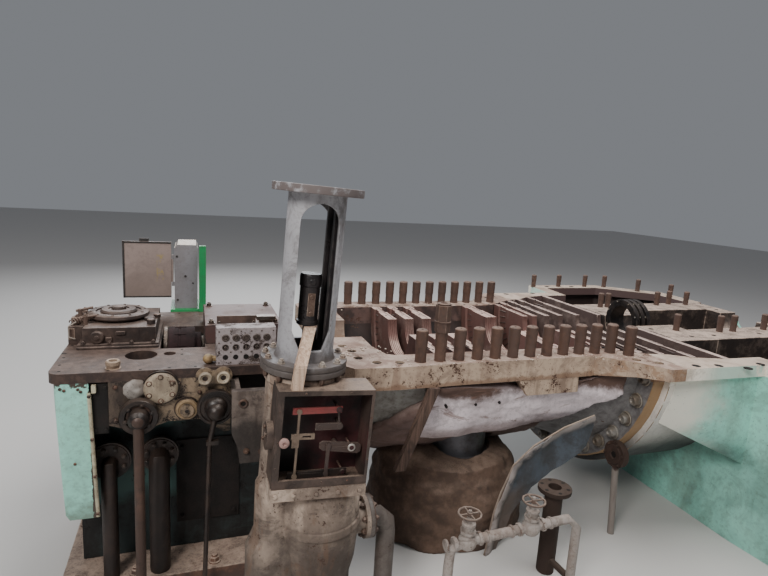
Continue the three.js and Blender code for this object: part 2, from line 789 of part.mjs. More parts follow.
const hoodFlangeEdge = [[joinX + fitGap, -1136], [hoodStep + 8, -1150], [3545, -1550],
  [4400, -1550], [4950, -1110]];
const seatOpening = turnedOnAxis([[joinX - 50, 0], [joinX - 50, 830], ...hoodSeat, [3371, 0]]);
const chamberOpening = prism('z', 1000, axisHeight + 10, [[3370, -1000], [3620, -1010],
  [3660, -1390], [4300, -1390], [4780, -1030], [4780, -bearingHalfWidth - fitGap],
  [5000, -bearingHalfWidth - fitGap], [5000, bearingHalfWidth + fitGap],
  [4780, bearingHalfWidth + fitGap], [4780, 1030], [4300, 1390], [3660, 1390], [3620, 1010],
  [3370, 1000]]);
const hoodOverhang = cut(
  block(2800, 5000, -1700, 1700, flangeUnderside - 20, thinUnderside),
  turnedOnAxis([[2850, 0], [2850, drumRadius], [hoodStep + 35, drumRadius], [hoodStep + 35, 0]]),
);
const hoodOpening = joined(seatOpening, chamberOpening, hoodOverhang);
addPart('hood_near_flange', flangeHalf(hoodFlangeEdge, hoodOpening, -1), dustyIron);
addPart('hood_far_flange', flangeHalf(hoodFlangeEdge, hoodOpening, 1), dustyIron);

// Gland saddle and rear bearing housing inside the hood, and the gland rings that stand in the bore

const saddleFront = 3385;
const saddleRear = 3750;
const housingRear = hoodRear - hoodWall - fitGap;
addPart('gland_saddle', cut(
  block(saddleFront, saddleRear - fitGap, -bearingHalfWidth, bearingHalfWidth, 800, axisHeight),
  sealWay,
), dustyIron);
addPart('rear_bearing_housing', cut(
  block(saddleRear, housingRear, -bearingHalfWidth, bearingHalfWidth, 800, axisHeight),
  sealWay,
  block(saddleRear - 10, 4700, -320, 320, 900, axisHeight + 10),
), dustyIron);

const sealProfile = [[3390, 120], [3530, 120], [3530, sealRadius], [3496, sealRadius], [3496, 150],
  [3474, 150], [3474, sealRadius], [3443, sealRadius], [3443, 150], [3421, 150],
  [3421, sealRadius], [3390, sealRadius]];
addPart('gland_rings', turnedOnAxis(sealProfile), 0x1c1b1b);

// Lagging left on the near side: blanket, edge board and the metal sheet that has slid down

function laggingArc(inner, outer) {
  const shape = new THREE.Shape();
  const top = -Math.PI + THREE.MathUtils.degToRad(11);
  const bottom = -Math.PI + THREE.MathUtils.degToRad(37);
  shape.absarc(0, axisHeight, outer, top, bottom, false);
  shape.absarc(0, axisHeight, inner, bottom, top, true);
  return shape;
}
const blanketRadius = 830;
addPart('lagging_blanket', cut(
  prism('x', 1360, 2290, laggingArc(casingRadius + 4, blanketRadius)),
  block(1910, 2400, -900, -700, 1015, flangeUnderside),
), palePaint);

const laggingSide = -815.5;
addPart('lagging_board', prism('y', laggingSide - 36, laggingSide, [[1150, 640], [1215, 640],
  [1395, flangeUnderside - fitGap], [1330, flangeUnderside - fitGap]]), 0x8a6a55);

const sheetOutline = [[1790, 0], [1890, 0], [1974, 221], [2100, 397], [2308, 523], [2485, 642],
  [2527, 777], [2490, 862], [2269, 800], [2061, 700], [1931, 587], [1860, 409], [1825, 278]];
addPart('lagging_sheet', cut(
  joined(
    prism('y', laggingSide - 12, laggingSide, sheetOutline),
    rod([2276, laggingSide - 6, 785], [2276, -660, 785], 10, 10),
  ),
  prism('x', 1350, 2300, laggingArc(casingRadius - 200, blanketRadius + fitGap)),
), greyPaint);

// Bellows under the casing, and the thick brown lagging round the casing's belly and round the
// extraction pipe below the bellows

const bellowsX = 1790;
const bellowsY = -330;
const ribCount = 6;
const ribPitch = 62;
const ribs = Array.from({ length: ribCount }, (_, i) => [
  [226, 150 + i * ribPitch], [226, 176 + i * ribPitch], [204, 184 + i * ribPitch],
  [204, 204 + i * ribPitch]]).flat();
addPart('extraction_bellows', cut(
  turnedUpright(bellowsX, bellowsY, [[0, 0], [226, 0], [226, 40], [204, 48], ...ribs, [204, 760],
    [0, 760]], 20),
  turnedOnAxis([[1000, 0], [2200, 0], [2200, casingRadius + fitGap], [1000, casingRadius + fitGap]]),
), greyPaint);

const bellyGap = 0.5;
const bellyRadius = 800;
addPart('belly_lagging', cut(
  turnedOnAxis([[1100, 690 + bellyGap], [1250, casingRadius + bellyGap],
    [2290, casingRadius + bellyGap], [2290, bellyRadius], [1250, bellyRadius], [1100, 752]]),
  prism('y', -1200, 1200, [[1000, 710], [1110, 790], [1264, 913], [1359, 985], [1359, 742],
    [2400, 742], [2400, 2200], [1000, 2200]]),
  upright([bellowsX, bellowsY], 232, 400, 900, 20),
), 0x5a4238);

addPart('pipe_lagging', cut(
  solidOf(turned([[0, 0], [478, 0], [470, 210], [425, 400], [372, 500], [300, 540], [0, 540]], 28)
    .rotateX(Math.PI / 2)
    .scale(1.18, 1, 1)
    .translate(bellowsX - 60, bellowsY, 0)),
  upright([bellowsX, bellowsY], 226 + fitGap, -10, 900, 20),
  turnedOnAxis([[1000, 0], [2400, 0], [2400, bellyRadius + fitGap], [1000, bellyRadius + fitGap]]),
), 0x5a4238);

// Drain line with its two valves, the open flange and the jack strut

const drainY = -1250;
const drainValves = [{ x: 1417, z: 443 }, { x: 1797, z: 462 }];
const stemTop = 148;
addPart('drain_header', joined(
  pipe([[1320, drainY, 0], [1320, drainY, 438], [2100, drainY, 476], [2100, drainY, 0]], 26, 60),
  cut(
    rod([1320, drainY, 90], [outletX + 15, outletY - 15, 90], 20, 12),
    upright([outletX, outletY], outletRadius + fitGap, 0, 200, 48),
  ),
  ...drainValves.flatMap(({ x, z }) => [
    ball([x, drainY, z], 50),
    upright([x, drainY], 30, z, z + 90, 12),
    upright([x, drainY], 42, z + 48, z + 64, 8),
    upright([x, drainY], 9, z + 80, z + stemTop + 26, 10),
  ]),
), greyPaint);

for (const [index, { x, z }] of drainValves.entries()) {
  const wheelZ = z + stemTop;
  const wheelRadius = 58;
  const spokes = Array.from({ length: 4 }, (_, i) => {
    const angle = (i * Math.PI) / 2;
    const dx = Math.cos(angle) * wheelRadius;
    const dy = Math.sin(angle) * wheelRadius;
    return rod([x, drainY, wheelZ + 6], [x + dx, drainY + dy, wheelZ + 6], 5, 8);
  });
  const rim = turnedUpright(x, drainY, [[wheelRadius - 7, wheelZ], [wheelRadius + 5, wheelZ],
    [wheelRadius + 5, wheelZ + 12], [wheelRadius - 7, wheelZ + 12]], 20);
  const hub = upright([x, drainY], 16, wheelZ - 4, wheelZ + 16, 12);
  const wheel = cut(joined(rim, hub, ...spokes), upright([x, drainY], 9.7, wheelZ - 20,
    wheelZ + 40, 10));
  addPart(`handwheel_${index + 1}`, wheel, dustyIron);
}

addPart('open_flange_stub', joined(
  turnedUpright(2085, -1050, [[0, 0], [52, 0], [52, 520], [97, 520], [97, 545], [38, 545],
    [38, 440], [0, 440]], 20),
  rod([2085, -1060, 90], [2096, drainY + 26 + fitGap, 90], 20, 12),
), rustyIron);

const strutHead = [-796, 547];
addPart('support_strut', joined(
  rod([2735, ...strutHead], [ringFace - fitGap, ...strutHead], 90, 24),
  rod([2757, ...strutHead], [2750, -851, 0], 22, 12),
), rustyIron);

export default turbine;
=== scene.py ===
import json
from math import cos, pi, radians, sin
from random import Random

import bmesh
import bpy
from mathutils import Matrix, Vector, noise


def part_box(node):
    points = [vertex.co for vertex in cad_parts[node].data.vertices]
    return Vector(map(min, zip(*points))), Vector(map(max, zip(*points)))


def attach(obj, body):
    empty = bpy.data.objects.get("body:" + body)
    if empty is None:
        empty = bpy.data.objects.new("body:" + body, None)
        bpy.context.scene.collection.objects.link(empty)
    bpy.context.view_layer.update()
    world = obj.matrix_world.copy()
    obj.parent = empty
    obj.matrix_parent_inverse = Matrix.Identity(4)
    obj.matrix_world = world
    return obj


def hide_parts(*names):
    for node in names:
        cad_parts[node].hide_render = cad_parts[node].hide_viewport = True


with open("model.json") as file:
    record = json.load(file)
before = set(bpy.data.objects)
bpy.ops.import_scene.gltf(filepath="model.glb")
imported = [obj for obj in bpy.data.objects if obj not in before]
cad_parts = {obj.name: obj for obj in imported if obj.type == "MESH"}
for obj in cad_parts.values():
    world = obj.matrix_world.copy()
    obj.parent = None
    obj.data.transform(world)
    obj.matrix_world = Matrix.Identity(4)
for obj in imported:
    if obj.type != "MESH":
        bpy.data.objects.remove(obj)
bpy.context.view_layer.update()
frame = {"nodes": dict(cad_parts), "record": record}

scene = bpy.context.scene

# The studio: a plain pale floor, soft lamps and a camera at eye height on the side of the stop
# valve, a step in front of the pedestal.

floor_mesh = bpy.data.meshes.new("studio_floor")
floor_bm = bmesh.new()
bmesh.ops.create_grid(floor_bm, x_segments=1, y_segments=1, size=30.0)
floor_bm.to_mesh(floor_mesh)
floor_bm.free()
studio_floor = bpy.data.objects.new("studio_floor", floor_mesh)
scene.collection.objects.link(studio_floor)
floor_finish = bpy.data.materials.new("studio_floor")
floor_finish.use_nodes = True
floor_shader = floor_finish.node_tree.nodes["Principled BSDF"]
floor_shader.inputs["Base Color"].default_value = (0.52, 0.505, 0.49, 1)
floor_shader.inputs["Roughness"].default_value = 0.9
floor_mesh.materials.append(floor_finish)

world = bpy.data.worlds.new("studio")
scene.world = world
world.use_nodes = True
world.node_tree.nodes["Background"].inputs["Color"].default_value = (0.84, 0.88, 0.95, 1)
world.node_tree.nodes["Background"].inputs["Strength"].default_value = 0.24


def lamp(name, place, aim, size, power, tone):
    light = bpy.data.lights.new(name, "AREA")
    light.shape = "DISK"
    light.size = size
    light.energy = power
    light.color = tone
    holder = bpy.data.objects.new(name, light)
    holder.location = place
    holder.rotation_euler = (Vector(aim) - Vector(place)).to_track_quat("-Z", "Y").to_euler()
    scene.collection.objects.link(holder)


turbine_middle = (1.8, 0.0, 1.0)
lamp("near_windows", (-3.5, -5.5, 6.5), turbine_middle, 3.2, 560, (1.0, 0.97, 0.93))
lamp("far_windows", (1.0, 7.5, 6.0), turbine_middle, 6.0, 520, (0.92, 0.96, 1.0))
lamp("roof_light", (3.0, -1.0, 8.0), turbine_middle, 5.0, 560, (1.0, 0.99, 0.97))

photo_width = 768
lens_in_pixels = 548.4
camera_data = bpy.data.cameras.new("photographer")
camera_data.sensor_width = 36.0
camera_data.lens = lens_in_pixels / photo_width * camera_data.sensor_width
camera_data.clip_end = 200
camera = bpy.data.objects.new("photographer", camera_data)
camera_right = Vector((0.9440, -0.3244, 0.0602)).normalized()
camera_ahead = Vector((0.3300, 0.9266, -0.1804)).normalized()
camera_up = camera_right.cross(camera_ahead)
camera_turn = Matrix((camera_right, camera_up, -camera_ahead)).transposed().to_4x4()
camera.matrix_world = Matrix.Translation((0.086, -3.476, 2.203)) @ camera_turn
scene.collection.objects.link(camera)
scene.camera = camera

# The bedplate: a thick rusty iron slab that lies on the foundation and carries the front
# pedestal, held by anchor bolts with big washers. Its finish is the first of the aged irons.


def paint_tone(tone, share=1.0, lift=0.0):
    """A painter's 0 to 255 colour as linear light, darkened to a share of itself or lifted."""
    def linear(value):
        value /= 255
        return value / 12.92 if value <= 0.04045 else ((value + 0.055) / 1.055) ** 2.4
    return tuple(min(1.0, share * linear(value) + lift) for value in tone) + (1.0,)


class Tone:
    """A value on its way through a finish, with sums written as plain expressions."""

    def __init__(self, finish, socket):
        self.finish = finish
        self.socket = socket

    def math(self, operation, first, second):
        return self.finish.node("ShaderNodeMath", {"operation": operation}, {0: first, 1: second})

    def __add__(self, other):
        return self.math("ADD", self, other)

    def __radd__(self, other):
        return self.math("ADD", other, self)

    def __sub__(self, other):
        return self.math("SUBTRACT", self, other)

    def __rsub__(self, other):
        return self.math("SUBTRACT", other, self)

    def __mul__(self, other):
        return self.math("MULTIPLY", self, other)

    def __rmul__(self, other):
        return self.math("MULTIPLY", other, self)

    def __pow__(self, other):
        return self.math("POWER", self, other)


class Finish:
    """One surface of the turbine, from its colour layers to its bumps."""

    def __init__(self, name):
        material = bpy.data.materials.new(name)
        material.use_nodes = True
        self.tree = material.node_tree
        self.shader = self.tree.nodes["Principled BSDF"]
        self.place = self.node("ShaderNodeTexCoord", output="Object")
        facing = self.node("ShaderNodeTexCoord", output="Normal")
        self.face = [self.node("ShaderNodeSeparateXYZ", {}, {0: facing}, axis) for axis in "XYZ"]
        self.at = [self.node("ShaderNodeSeparateXYZ", {}, {0: self.place}, axis) for axis in "XYZ"]

    def node(self, kind, settings=None, inputs=None, output=0):
        made = self.tree.nodes.new(kind)
        for key, value in (settings or {}).items():
            setattr(made, key, value)
        for key, value in (inputs or {}).items():
            if isinstance(value, Tone):
                self.tree.links.new(value.socket, made.inputs[key])
            else:
                made.inputs[key].default_value = value
        return Tone(self, made.outputs[output])

    def clouds(self, scale, detail=4.0, rough=0.6, stretch=None, twist=0.0):
        at = self.place
        if stretch:
            at = self.node("ShaderNodeMapping", {}, {"Vector": at, "Scale": stretch})
        return self.node("ShaderNodeTexNoise", {},
                         {"Vector": at, "Scale": scale, "Detail": detail, "Roughness": rough,
                          "Distortion": twist})

    def spots(self, scale):
        return self.node("ShaderNodeTexVoronoi", {}, {"Vector": self.place, "Scale": scale}, "Distance")

    def between(self, value, low, high):
        """0 below low, 1 above high, with a soft step between them."""
        return self.node("ShaderNodeMapRange", {"interpolation_type": "SMOOTHSTEP"},
                         {"Value": value, "From Min": low, "From Max": high, "To Min": 0.0,
                          "To Max": 1.0})

    def patches(self, low, high, *clouds, **more):
        """Clouds cut to patches, which are 1 where the clouds pass high."""
        return self.between(self.clouds(*clouds, **more), low, high)

    def ragged(self, value, low, high, swing, *clouds):
        """A soft step as between makes it, whose edge clouds tear to and fro."""
        return self.between(value + (self.clouds(*clouds) - 0.5) * swing, low, high)

    def blend(self, amount, first, second, share=1.0, lift=0.0):
        """From the first tone to the second, which can be darkened to a share of itself."""
        first = first if isinstance(first, Tone) else paint_tone(first)
        second = second if isinstance(second, Tone) else paint_tone(second, share, lift)
        return self.node("ShaderNodeMix", {"data_type": "RGBA"}, {0: amount, 6: first, 7: second}, 2)

    def coat(self, amount, tone, share=1.0):
        """Lays one more tone over the colour so far."""
        self.colour = self.blend(amount, self.colour, tone, share)

    def upward(self):
        """1 where the surface faces up, so that dust has settled there."""
        return self.between(self.face[2], 0.45, 0.95)

    def done(self, rough, bump, depth=0.002, metallic=0.0):
        for socket, value in (("Base Color", self.colour), ("Roughness", rough), ("Metallic", metallic)):
            if isinstance(value, Tone):
                self.tree.links.new(value.socket, self.shader.inputs[socket])
            else:
                self.shader.inputs[socket].default_value = value
        raised = self.node("ShaderNodeBump", {}, {"Height": bump, "Distance": depth, "Strength": 0.9})
        self.tree.links.new(raised.socket, self.shader.inputs["Normal"])


def aged_iron(name, iron, rust, dust, dusty=0.6, rough=0.75, grain=1.0, metal=0.25, region=None):
    """Bare or oiled cast iron: cloudy colour, rust freckles, and dust on what faces up."""
    f = Finish(name)
    broad = f.clouds(2.2 * grain, 3.0, 0.55)
    middle = f.clouds(11.0 * grain, 5.0, 0.68)
    fine = f.clouds(95.0 * grain, 3.0, 0.7)
    wear = f.node("ShaderNodeAttribute", {"attribute_name": "wear"}, output="Fac")
    rusty = f.between(broad * 0.5 + middle * 0.5, 0.42, 0.6)
    f.colour = f.blend(rusty, iron, rust)
    darker = f.patches(0.54, 0.7, 5.5 * grain, 6.0, 0.7, twist=0.6)
    f.coat(darker * 0.65, iron, 0.35)
    if region:
        region(f)
    runs = f.patches(0.52, 0.7, 7.0 * grain, 4.0, 0.6, (1.0, 1.0, 0.1))
    f.coat(runs * 0.35, rust, 0.5)
    settled = f.upward() * f.between(middle * 0.5 + fine * 0.5, 0.28, 0.6) * dusty
    veil = f.between(broad * 0.4 + middle * 0.6, 0.46, 0.7) * (dusty * 0.35)
    f.coat(settled + veil, dust)
    f.coat(f.between(fine, 0.58, 0.72) * 0.35, rust)
    f.coat(wear * f.between(middle, 0.4, 0.6) * 0.6, dust)
    shine = rough + (fine - 0.5) * 0.25 - darker * 0.18
    f.done(shine, middle * 0.6 + fine * 0.4, 0.004, metal)


hall_dust = (186, 166, 150)
rust_brown = (104, 70, 54)
aged_iron("rusty_bedplate", (84, 68, 62), rust_brown, hall_dust, 0.7)


def blank():
    """A fresh bmesh with the layer that marks worn edges."""
    part = bmesh.new()
    part.loops.layers.float.new("wear")
    return part


def eased(part, edge, steps=2, sharp=40):
    """Breaks the part's sharp edges, and marks them for wear."""
    corners = [e for e in part.edges if e.is_manifold and e.calc_face_angle() > radians(sharp)]
    if edge > 0 and corners:
        made = bmesh.ops.bevel(part, geom=corners, affect="EDGES", offset=edge, offset_type="OFFSET",
                               segments=steps, profile=0.5, clamp_overlap=True, material=-1)
        wear = part.loops.layers.float["wear"]
        for face in made["faces"]:
            for loop in face.loops:
                loop[wear] = 1.0
    return part


def joined(*parts):
    whole = blank()
    mesh = bpy.data.meshes.new("part")
    for part in parts:
        part.to_mesh(mesh)
        part.free()
        whole.from_mesh(mesh)
    bpy.data.meshes.remove(mesh)
    return whole


def moved(part, place):
    bmesh.ops.transform(part, matrix=place, verts=part.verts)
    return part


def finished(name, finish, slot, *parts, body="turbine", place=Matrix(), stands_for=(), crease=35):
    """Makes the shaped parts one piece of the turbine, on its body. The slot is not used."""
    part = moved(joined(*parts) if len(parts) > 1 else parts[0], place)
    for face in part.faces:
        face.smooth = True
    for edge in part.edges:
        edge.smooth = not edge.is_manifold or edge.calc_face_angle() < radians(crease)
    mesh = bpy.data.meshes.new(name)
    part.to_mesh(mesh)
    part.free()
    piece = bpy.data.objects.new(name, mesh)
    scene.collection.objects.link(piece)
    mesh.materials.append(bpy.data.materials[finish])
    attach(piece, body)
    if stands_for:
        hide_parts(*stands_for)
    even = piece.modifiers.new("even_shading", "WEIGHTED_NORMAL")
    even.keep_sharp = True


def cleaned(node):
    """The node's own solid with its loose triangles merged into an even mesh."""
    part = blank()
    part.from_mesh(frame["nodes"][node].data)
    bmesh.ops.remove_doubles(part, verts=part.verts, dist=0.00002)
    bmesh.ops.dissolve_limit(part, angle_limit=radians(0.5), verts=part.verts, edges=part.edges)
    bmesh.ops.triangulate(part, faces=part.faces, quad_method="BEAUTY", ngon_method="BEAUTY")
    return part


slot_of = {row["node"]: row["material_slot"] for row in frame["record"]["subparts"]}
body_of = {node: body for body, nodes in frame["record"]["behaviour"]["bodies"].items() for node in nodes}


def softened(node, finish, edge=0.003, steps=2, sharp=40):
    """The node's own solid with its corners rounded as on a casting or a filed edge."""
    finished(f"{node}_finished", finish, slot_of[node], eased(cleaned(node), edge, steps, sharp),
             body=body_of[node], stands_for=(node,))


def copies(part, places):
    """One copy of the part at each place."""
    made = [moved(part.copy(), place) for place in places]
    part.free()
    return made


def aimed(point, direction=(0, 0, 1)):
    """The place at a point for a part made upright, turned towards the direction."""
    turn = Vector(direction).to_track_quat("Z", "Y").to_matrix().to_4x4()
    return Matrix.Translation(point) @ turn


def rod(start, end, radius, sides=20, edge=0.001, narrow=None):
    """A round bar between two points, or a cone where it grows narrow."""
    start, end = Vector(start), Vector(end)
    part = blank()
    bmesh.ops.create_cone(
        part, cap_ends=True, cap_tris=False, segments=sides, radius1=radius,
        radius2=radius if narrow is None else narrow, depth=(end - start).length,
        matrix=aimed((start + end) / 2, end - start),
    )
    return eased(part, edge, 1)


def post(x, y, low, high, *shape):
    return rod((x, y, low), (x, y, high), *shape)


def peg(low, high, *shape):
    """A post on its own axis, for copies at other places."""
    return post(0, 0, low, high, *shape)


def bolt_end(size):
    """A washer, a nut and the end of its stud, standing up from the ground."""
    return joined(peg(0, 0.25 * size, 1.25 * size, 16, 0),
                  peg(0.2 * size, 1.1 * size, size, 6, 0.1 * size),
                  peg(size, 1.55 * size, 0.58 * size, 12, 0.08 * size))


softened("pedestal_bedplate", "rusty_bedplate", 0.005)
bedplate_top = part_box("pedestal_bedplate")[1][2]
anchor_places = [(-0.50, -0.62), (-0.20, -0.62), (0.20, -0.62), (0.60, -0.62), (-0.52, -0.1),
                 (-0.52, 0.4)]
finished("anchor_bolts", "rusty_bedplate", "rusty_iron",
         *copies(bolt_end(0.028), [aimed((x, y, bedplate_top)) for x, y in anchor_places]))

# The pedestal's sump and its upper housing: an iron oil tank in two castings, painted dark
# sea green inside and out; decades of oil and painted shade make them nearly black.


def worn_paint(name, paint, under, dirt, chips=0.5, streaks=0.5, rough=0.55, grain=1.0, region=None,
               dust=None):
    """Old shop paint: faded in clouds, streaked with dirt, and chipped through to the metal."""
    f = Finish(name)
    dust = dust or dirt
    broad = f.clouds(1.7 * grain, 3.0, 0.55)
    middle = f.clouds(9.0 * grain, 6.0, 0.7, twist=0.4)
    fine = f.clouds(120.0 * grain, 2.0, 0.6)
    wear = f.node("ShaderNodeAttribute", {"attribute_name": "wear"}, output="Fac")
    runs = f.clouds(6.0 * grain, 4.0, 0.6, (1.0, 1.0, 0.12))
    f.colour = f.blend(f.between(broad, 0.35, 0.7), paint, paint, 1.12, 0.01)
    dirty = f.between(runs * 0.6 + middle * 0.4, 0.46, 0.62) * streaks
    f.coat(dirty, dirt)
    blotched = f.patches(0.5, 0.6, 3.4 * grain, 7.0, 0.75, twist=0.9)
    f.coat(blotched * (streaks * 0.8), dirt, 0.7)
    mottled = f.patches(0.5, 0.64, 38.0 * grain, 4.0, 0.7)
    f.coat(mottled * 0.3, dirt, 0.8)
    if region:
        region(f)
    edge = 0.72 - 0.16 * chips
    chipped = f.between(middle * 0.75 + fine * 0.25 + wear * 0.08, edge, edge + 0.012)
    f.coat(chipped, under)
    speckle = 1 - f.between(f.spots(46.0 * grain), 0.1, 0.17)
    f.coat(speckle * f.between(broad, 0.42, 0.58) * chips, under)
    settled = f.upward() * f.between(fine * 0.4 + middle * 0.6, 0.3, 0.62) * 0.5
    f.coat(settled, dust)
    shine = rough + dirty * 0.25 + chipped * 0.2 + (fine - 0.5) * 0.12
    f.done(shine, (1 - chipped) * 0.5 + fine * 0.12 + middle * 0.25, 0.002)


def cleaner_patches(f):
    high = f.ragged(f.at[2], 0.84, 0.90, 0.2, 5.0, 5.0)
    low = f.ragged(f.at[2], 0.42, 0.5, 0.3, 4.0, 5.0)
    low = low * (1 - f.between(f.at[2], 0.56, 0.66))
    left = 1 - f.ragged(f.at[0], -0.02, 0.08, 0.2, 4.0, 5.0)
    f.coat((high + low - high * low) * left * 0.8, (66, 98, 94))


black_oil = (24, 20, 19)
# The sump's sea green is darkened nearly to black, partly by oil and partly as painted shade.
worn_paint("sump_sea_green", (28, 40, 41), black_oil, (23, 20, 19), 0.8, 0.9, region=cleaner_patches)
softened("pedestal_sump", "sump_sea_green", 0.006)
# The housing's near black iron is partly oil and partly painted shade.
aged_iron("oily_casting_and_shade", (23, 20, 19), (34, 27, 25), (60, 52, 47), 0.35, 0.75)
softened("pedestal_housing", "oily_casting_and_shade", 0.005)


def bar(low, high, edge=0.002, steps=2):
    """A square bar or plate from its lowest to its highest corner."""
    part = blank()
    bmesh.ops.create_cube(part, size=1.0)
    low, high = Vector(low), Vector(high)
    bmesh.ops.scale(part, vec=high - low, verts=part.verts)
    bmesh.ops.translate(part, vec=(low + high) / 2, verts=part.verts)
    return eased(part, edge, steps)


def pin(x, z, start, end, *shape):
    """A round bar that points out at the front."""
    return rod((x, start, z), (x, end, z), *shape)


def on_front(x, z, y):
    """The place of a part that points out of a face at the front."""
    return aimed((x, y, z), (0, -1, 0))


sump_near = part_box("pedestal_sump")[0][1]
cover_places = [(x, z) for x in (0.03, 0.17, 0.31) for z in (0.30, 0.72)]
finished(
    "sump_covers", "oily_casting_and_shade", "oily_iron",
    bar((0.0, sump_near - 0.014, 0.26), (0.34, sump_near, 0.76), 0.004),
    *copies(bolt_end(0.011), [on_front(x, z, sump_near - 0.014) for x, z in cover_places]),
    bar((-0.37, -0.668, 0.93), (-0.302, -0.656, 1.192), 0.003),
    *copies(peg(0, 0.006, 0.008, 12, 0.001),
            [on_front(x, z, -0.668) for x in (-0.36, -0.314) for z in (0.95, 1.17)]),
)

# The governor drive in the trough: a dark maroon drum on a short shaft, with a ground steel
# collar at each end and shallow grooves turned in it.


def spun(profile, place=Matrix(), sides=36, edge=0.0):
    """Turns a profile of (radius, height) points, which is closed by the axis or by itself."""
    part = blank()
    rim = [part.verts.new((radius, 0, height)) for radius, height in profile]
    lines = [part.edges.new(pair) for pair in zip(rim, rim[1:])]
    if profile[0][0] > 0:
        lines.append(part.edges.new((rim[-1], rim[0])))
    bmesh.ops.spin(part, geom=rim + lines, cent=(0, 0, 0), axis=(0, 0, 1), angle=2 * pi, steps=sides,
                   use_merge=True)
    bmesh.ops.remove_doubles(part, verts=part.verts, dist=0.000001)
    bmesh.ops.recalc_face_normals(part, faces=part.faces)
    return moved(eased(part, edge, 1), place)


def hoop(inner, outer, low, high, *turning):
    """A turned ring of plain square section."""
    return spun([(inner, low), (outer, low), (outer, high), (inner, high)], *turning)


worn_paint("maroon_drum", (34, 9, 11), (10, 6, 6), (14, 7, 7), 0.7, 0.5, 0.95)
drum_low, drum_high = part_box("shaft_coupling")
drum_axis = aimed((0, (drum_low[1] + drum_high[1]) / 2, (drum_low[2] + drum_high[2]) / 2), (1, 0, 0))
drum_ends = (drum_low[0], drum_high[0])
finished(
    "governor_drum", "maroon_drum", "red_primer",
    spun([(0, drum_ends[0]), (0.04, drum_ends[0]), (0.04, -0.052), (0.112, -0.052), (0.117, -0.046),
          (0.117, 0.006), (0.112, 0.01), (0.112, 0.02), (0.117, 0.024), (0.117, 0.094), (0.11, 0.1),
          (0.084, 0.1), (0.084, 0.134), (0.078, 0.138), (0.04, 0.138), (0.04, drum_ends[1]),
          (0, drum_ends[1])], drum_axis, 48),
    *copies(bar((-0.012, -0.004, 0.108), (0.052, 0.004, 0.121), 0.001),
            [Matrix.Translation(drum_axis.translation) @ Matrix.Rotation(turn * pi / 5, 4, "X")
             for turn in range(10)]),
    stands_for=("shaft_coupling",),
)
aged_iron("ground_collar", (92, 84, 78), (66, 54, 48), hall_dust, 0.3, 0.35, 1.5, 0.7)
finished(
    "drum_collars", "ground_collar", "red_primer",
    spun([(0.045, -0.074), (0.12, -0.074), (0.124, -0.07), (0.124, -0.052), (0.12, -0.048),
          (0.045, -0.048)], drum_axis, 48),
    hoop(0.045, 0.062, 0.138, 0.15, drum_axis),
)

# The top plate: a thick planed plate on the housing, brown with oil and dust, drilled and
# tapped along its edges, with an oil cup at its corner and two brass grease nipples.


def trimmed(node, height):
    """The node's own solid without what stands above the height."""
    part = cleaned(node)
    bmesh.ops.bisect_plane(part, geom=part.verts[:] + part.edges[:] + part.faces[:], dist=0.00001,
                           plane_co=(0, 0, height), plane_no=(0, 0, 1), clear_outer=True)
    bmesh.ops.holes_fill(part, edges=[e for e in part.edges if e.is_boundary], sides=0)
    return part


aged_iron("dusty_top_plate", (56, 45, 42), (74, 57, 50), (126, 108, 98), 0.5, 0.6, 2.2)
plate_top = 1.25
finished(
    "top_plate", "dusty_top_plate", slot_of["pedestal_top_plate"],
    eased(trimmed("pedestal_top_plate", plate_top + 0.0002), 0.004), stands_for=("pedestal_top_plate",),
)
# Painted shade: near black discs and plugs set in holes, bores and ports stand for the shade inside them;
# the same dark iron marks the diaphragms' seams and the blanket's pins.
aged_iron("hole_shade_and_dark_iron", (22, 18, 17), (30, 24, 22), (40, 34, 30), 0.1)
tapped = [
    (-0.53, -0.539), (-0.514, -0.636), (-0.157, -0.662), (-0.024, -0.655), (0.031, -0.349),
    (0.032, -0.44), (-0.30, -0.655), (0.10, -0.655), (-0.535, -0.42), (-0.535, -0.2), (-0.535, 0.12),
    (-0.535, 0.4), (-0.3, 0.5), (0.0, 0.5), (0.3, 0.5), (0.6, 0.5),
]
# Painted shade in the tapped holes and the slot.
finished(
    "tapped_holes", "hole_shade_and_dark_iron", "dusty_iron",
    *copies(peg(-0.01, 0.0006, 0.0075, 14, 0.0), [aimed((x, y, plate_top)) for x, y in tapped]),
    bar((-0.56, -0.356, 1.236), (-0.535, -0.342, 1.2506), 0.0),
)
cup_place = aimed((-0.283, -0.618, 0))
aged_iron("pale_cup_ring", (150, 130, 112), (112, 90, 74), hall_dust, 0.4, 0.6)
finished(
    "oil_cup", "pale_cup_ring", "dusty_iron",
    spun([(0.0, 1.262), (0.018, 1.262), (0.02, 1.288), (0.028, 1.29), (0.033, 1.285), (0.034, 1.268),
          (0.03, 1.262), (0.03, 1.249), (0.0, 1.249)], cup_place),
    spun([(0.0, 1.252), (0.036, 1.252), (0.038, 1.248), (0.0, 1.248)], cup_place),
)
# Painted shade in the oil cup's bore.
finished("oil_cup_bore", "hole_shade_and_dark_iron", "dusty_iron", post(-0.283, -0.618, 1.26, 1.2645, 0.0175, 18, 0))
aged_iron("greasy_brass", (176, 150, 104), (128, 102, 72), (200, 184, 156), 0.4, 0.6, 2.0, 0.3)


def ball(centre, radius):
    part = blank()
    bmesh.ops.create_uvsphere(part, u_segments=20, v_segments=12, radius=radius,
                              matrix=Matrix.Translation(centre))
    return part


finished(
    "grease_nipples", "greasy_brass", "dusty_iron", ball((0.162, -0.622, 1.277), 0.026),
    rod((0.162, -0.622, 1.277), (0.2, -0.622, 1.277), 0.015, 6), ball((0.178, -0.585, 1.27), 0.017),
    rod((0.178, -0.585, 1.27), (0.2, -0.585, 1.27), 0.01, 6),
)

# The corner panel: sea green sheet steel folded round the pedestal's corner, with a screwed
# edge strip at its right, chipped and dirty at its foot.

sea_green = (146, 208, 192)


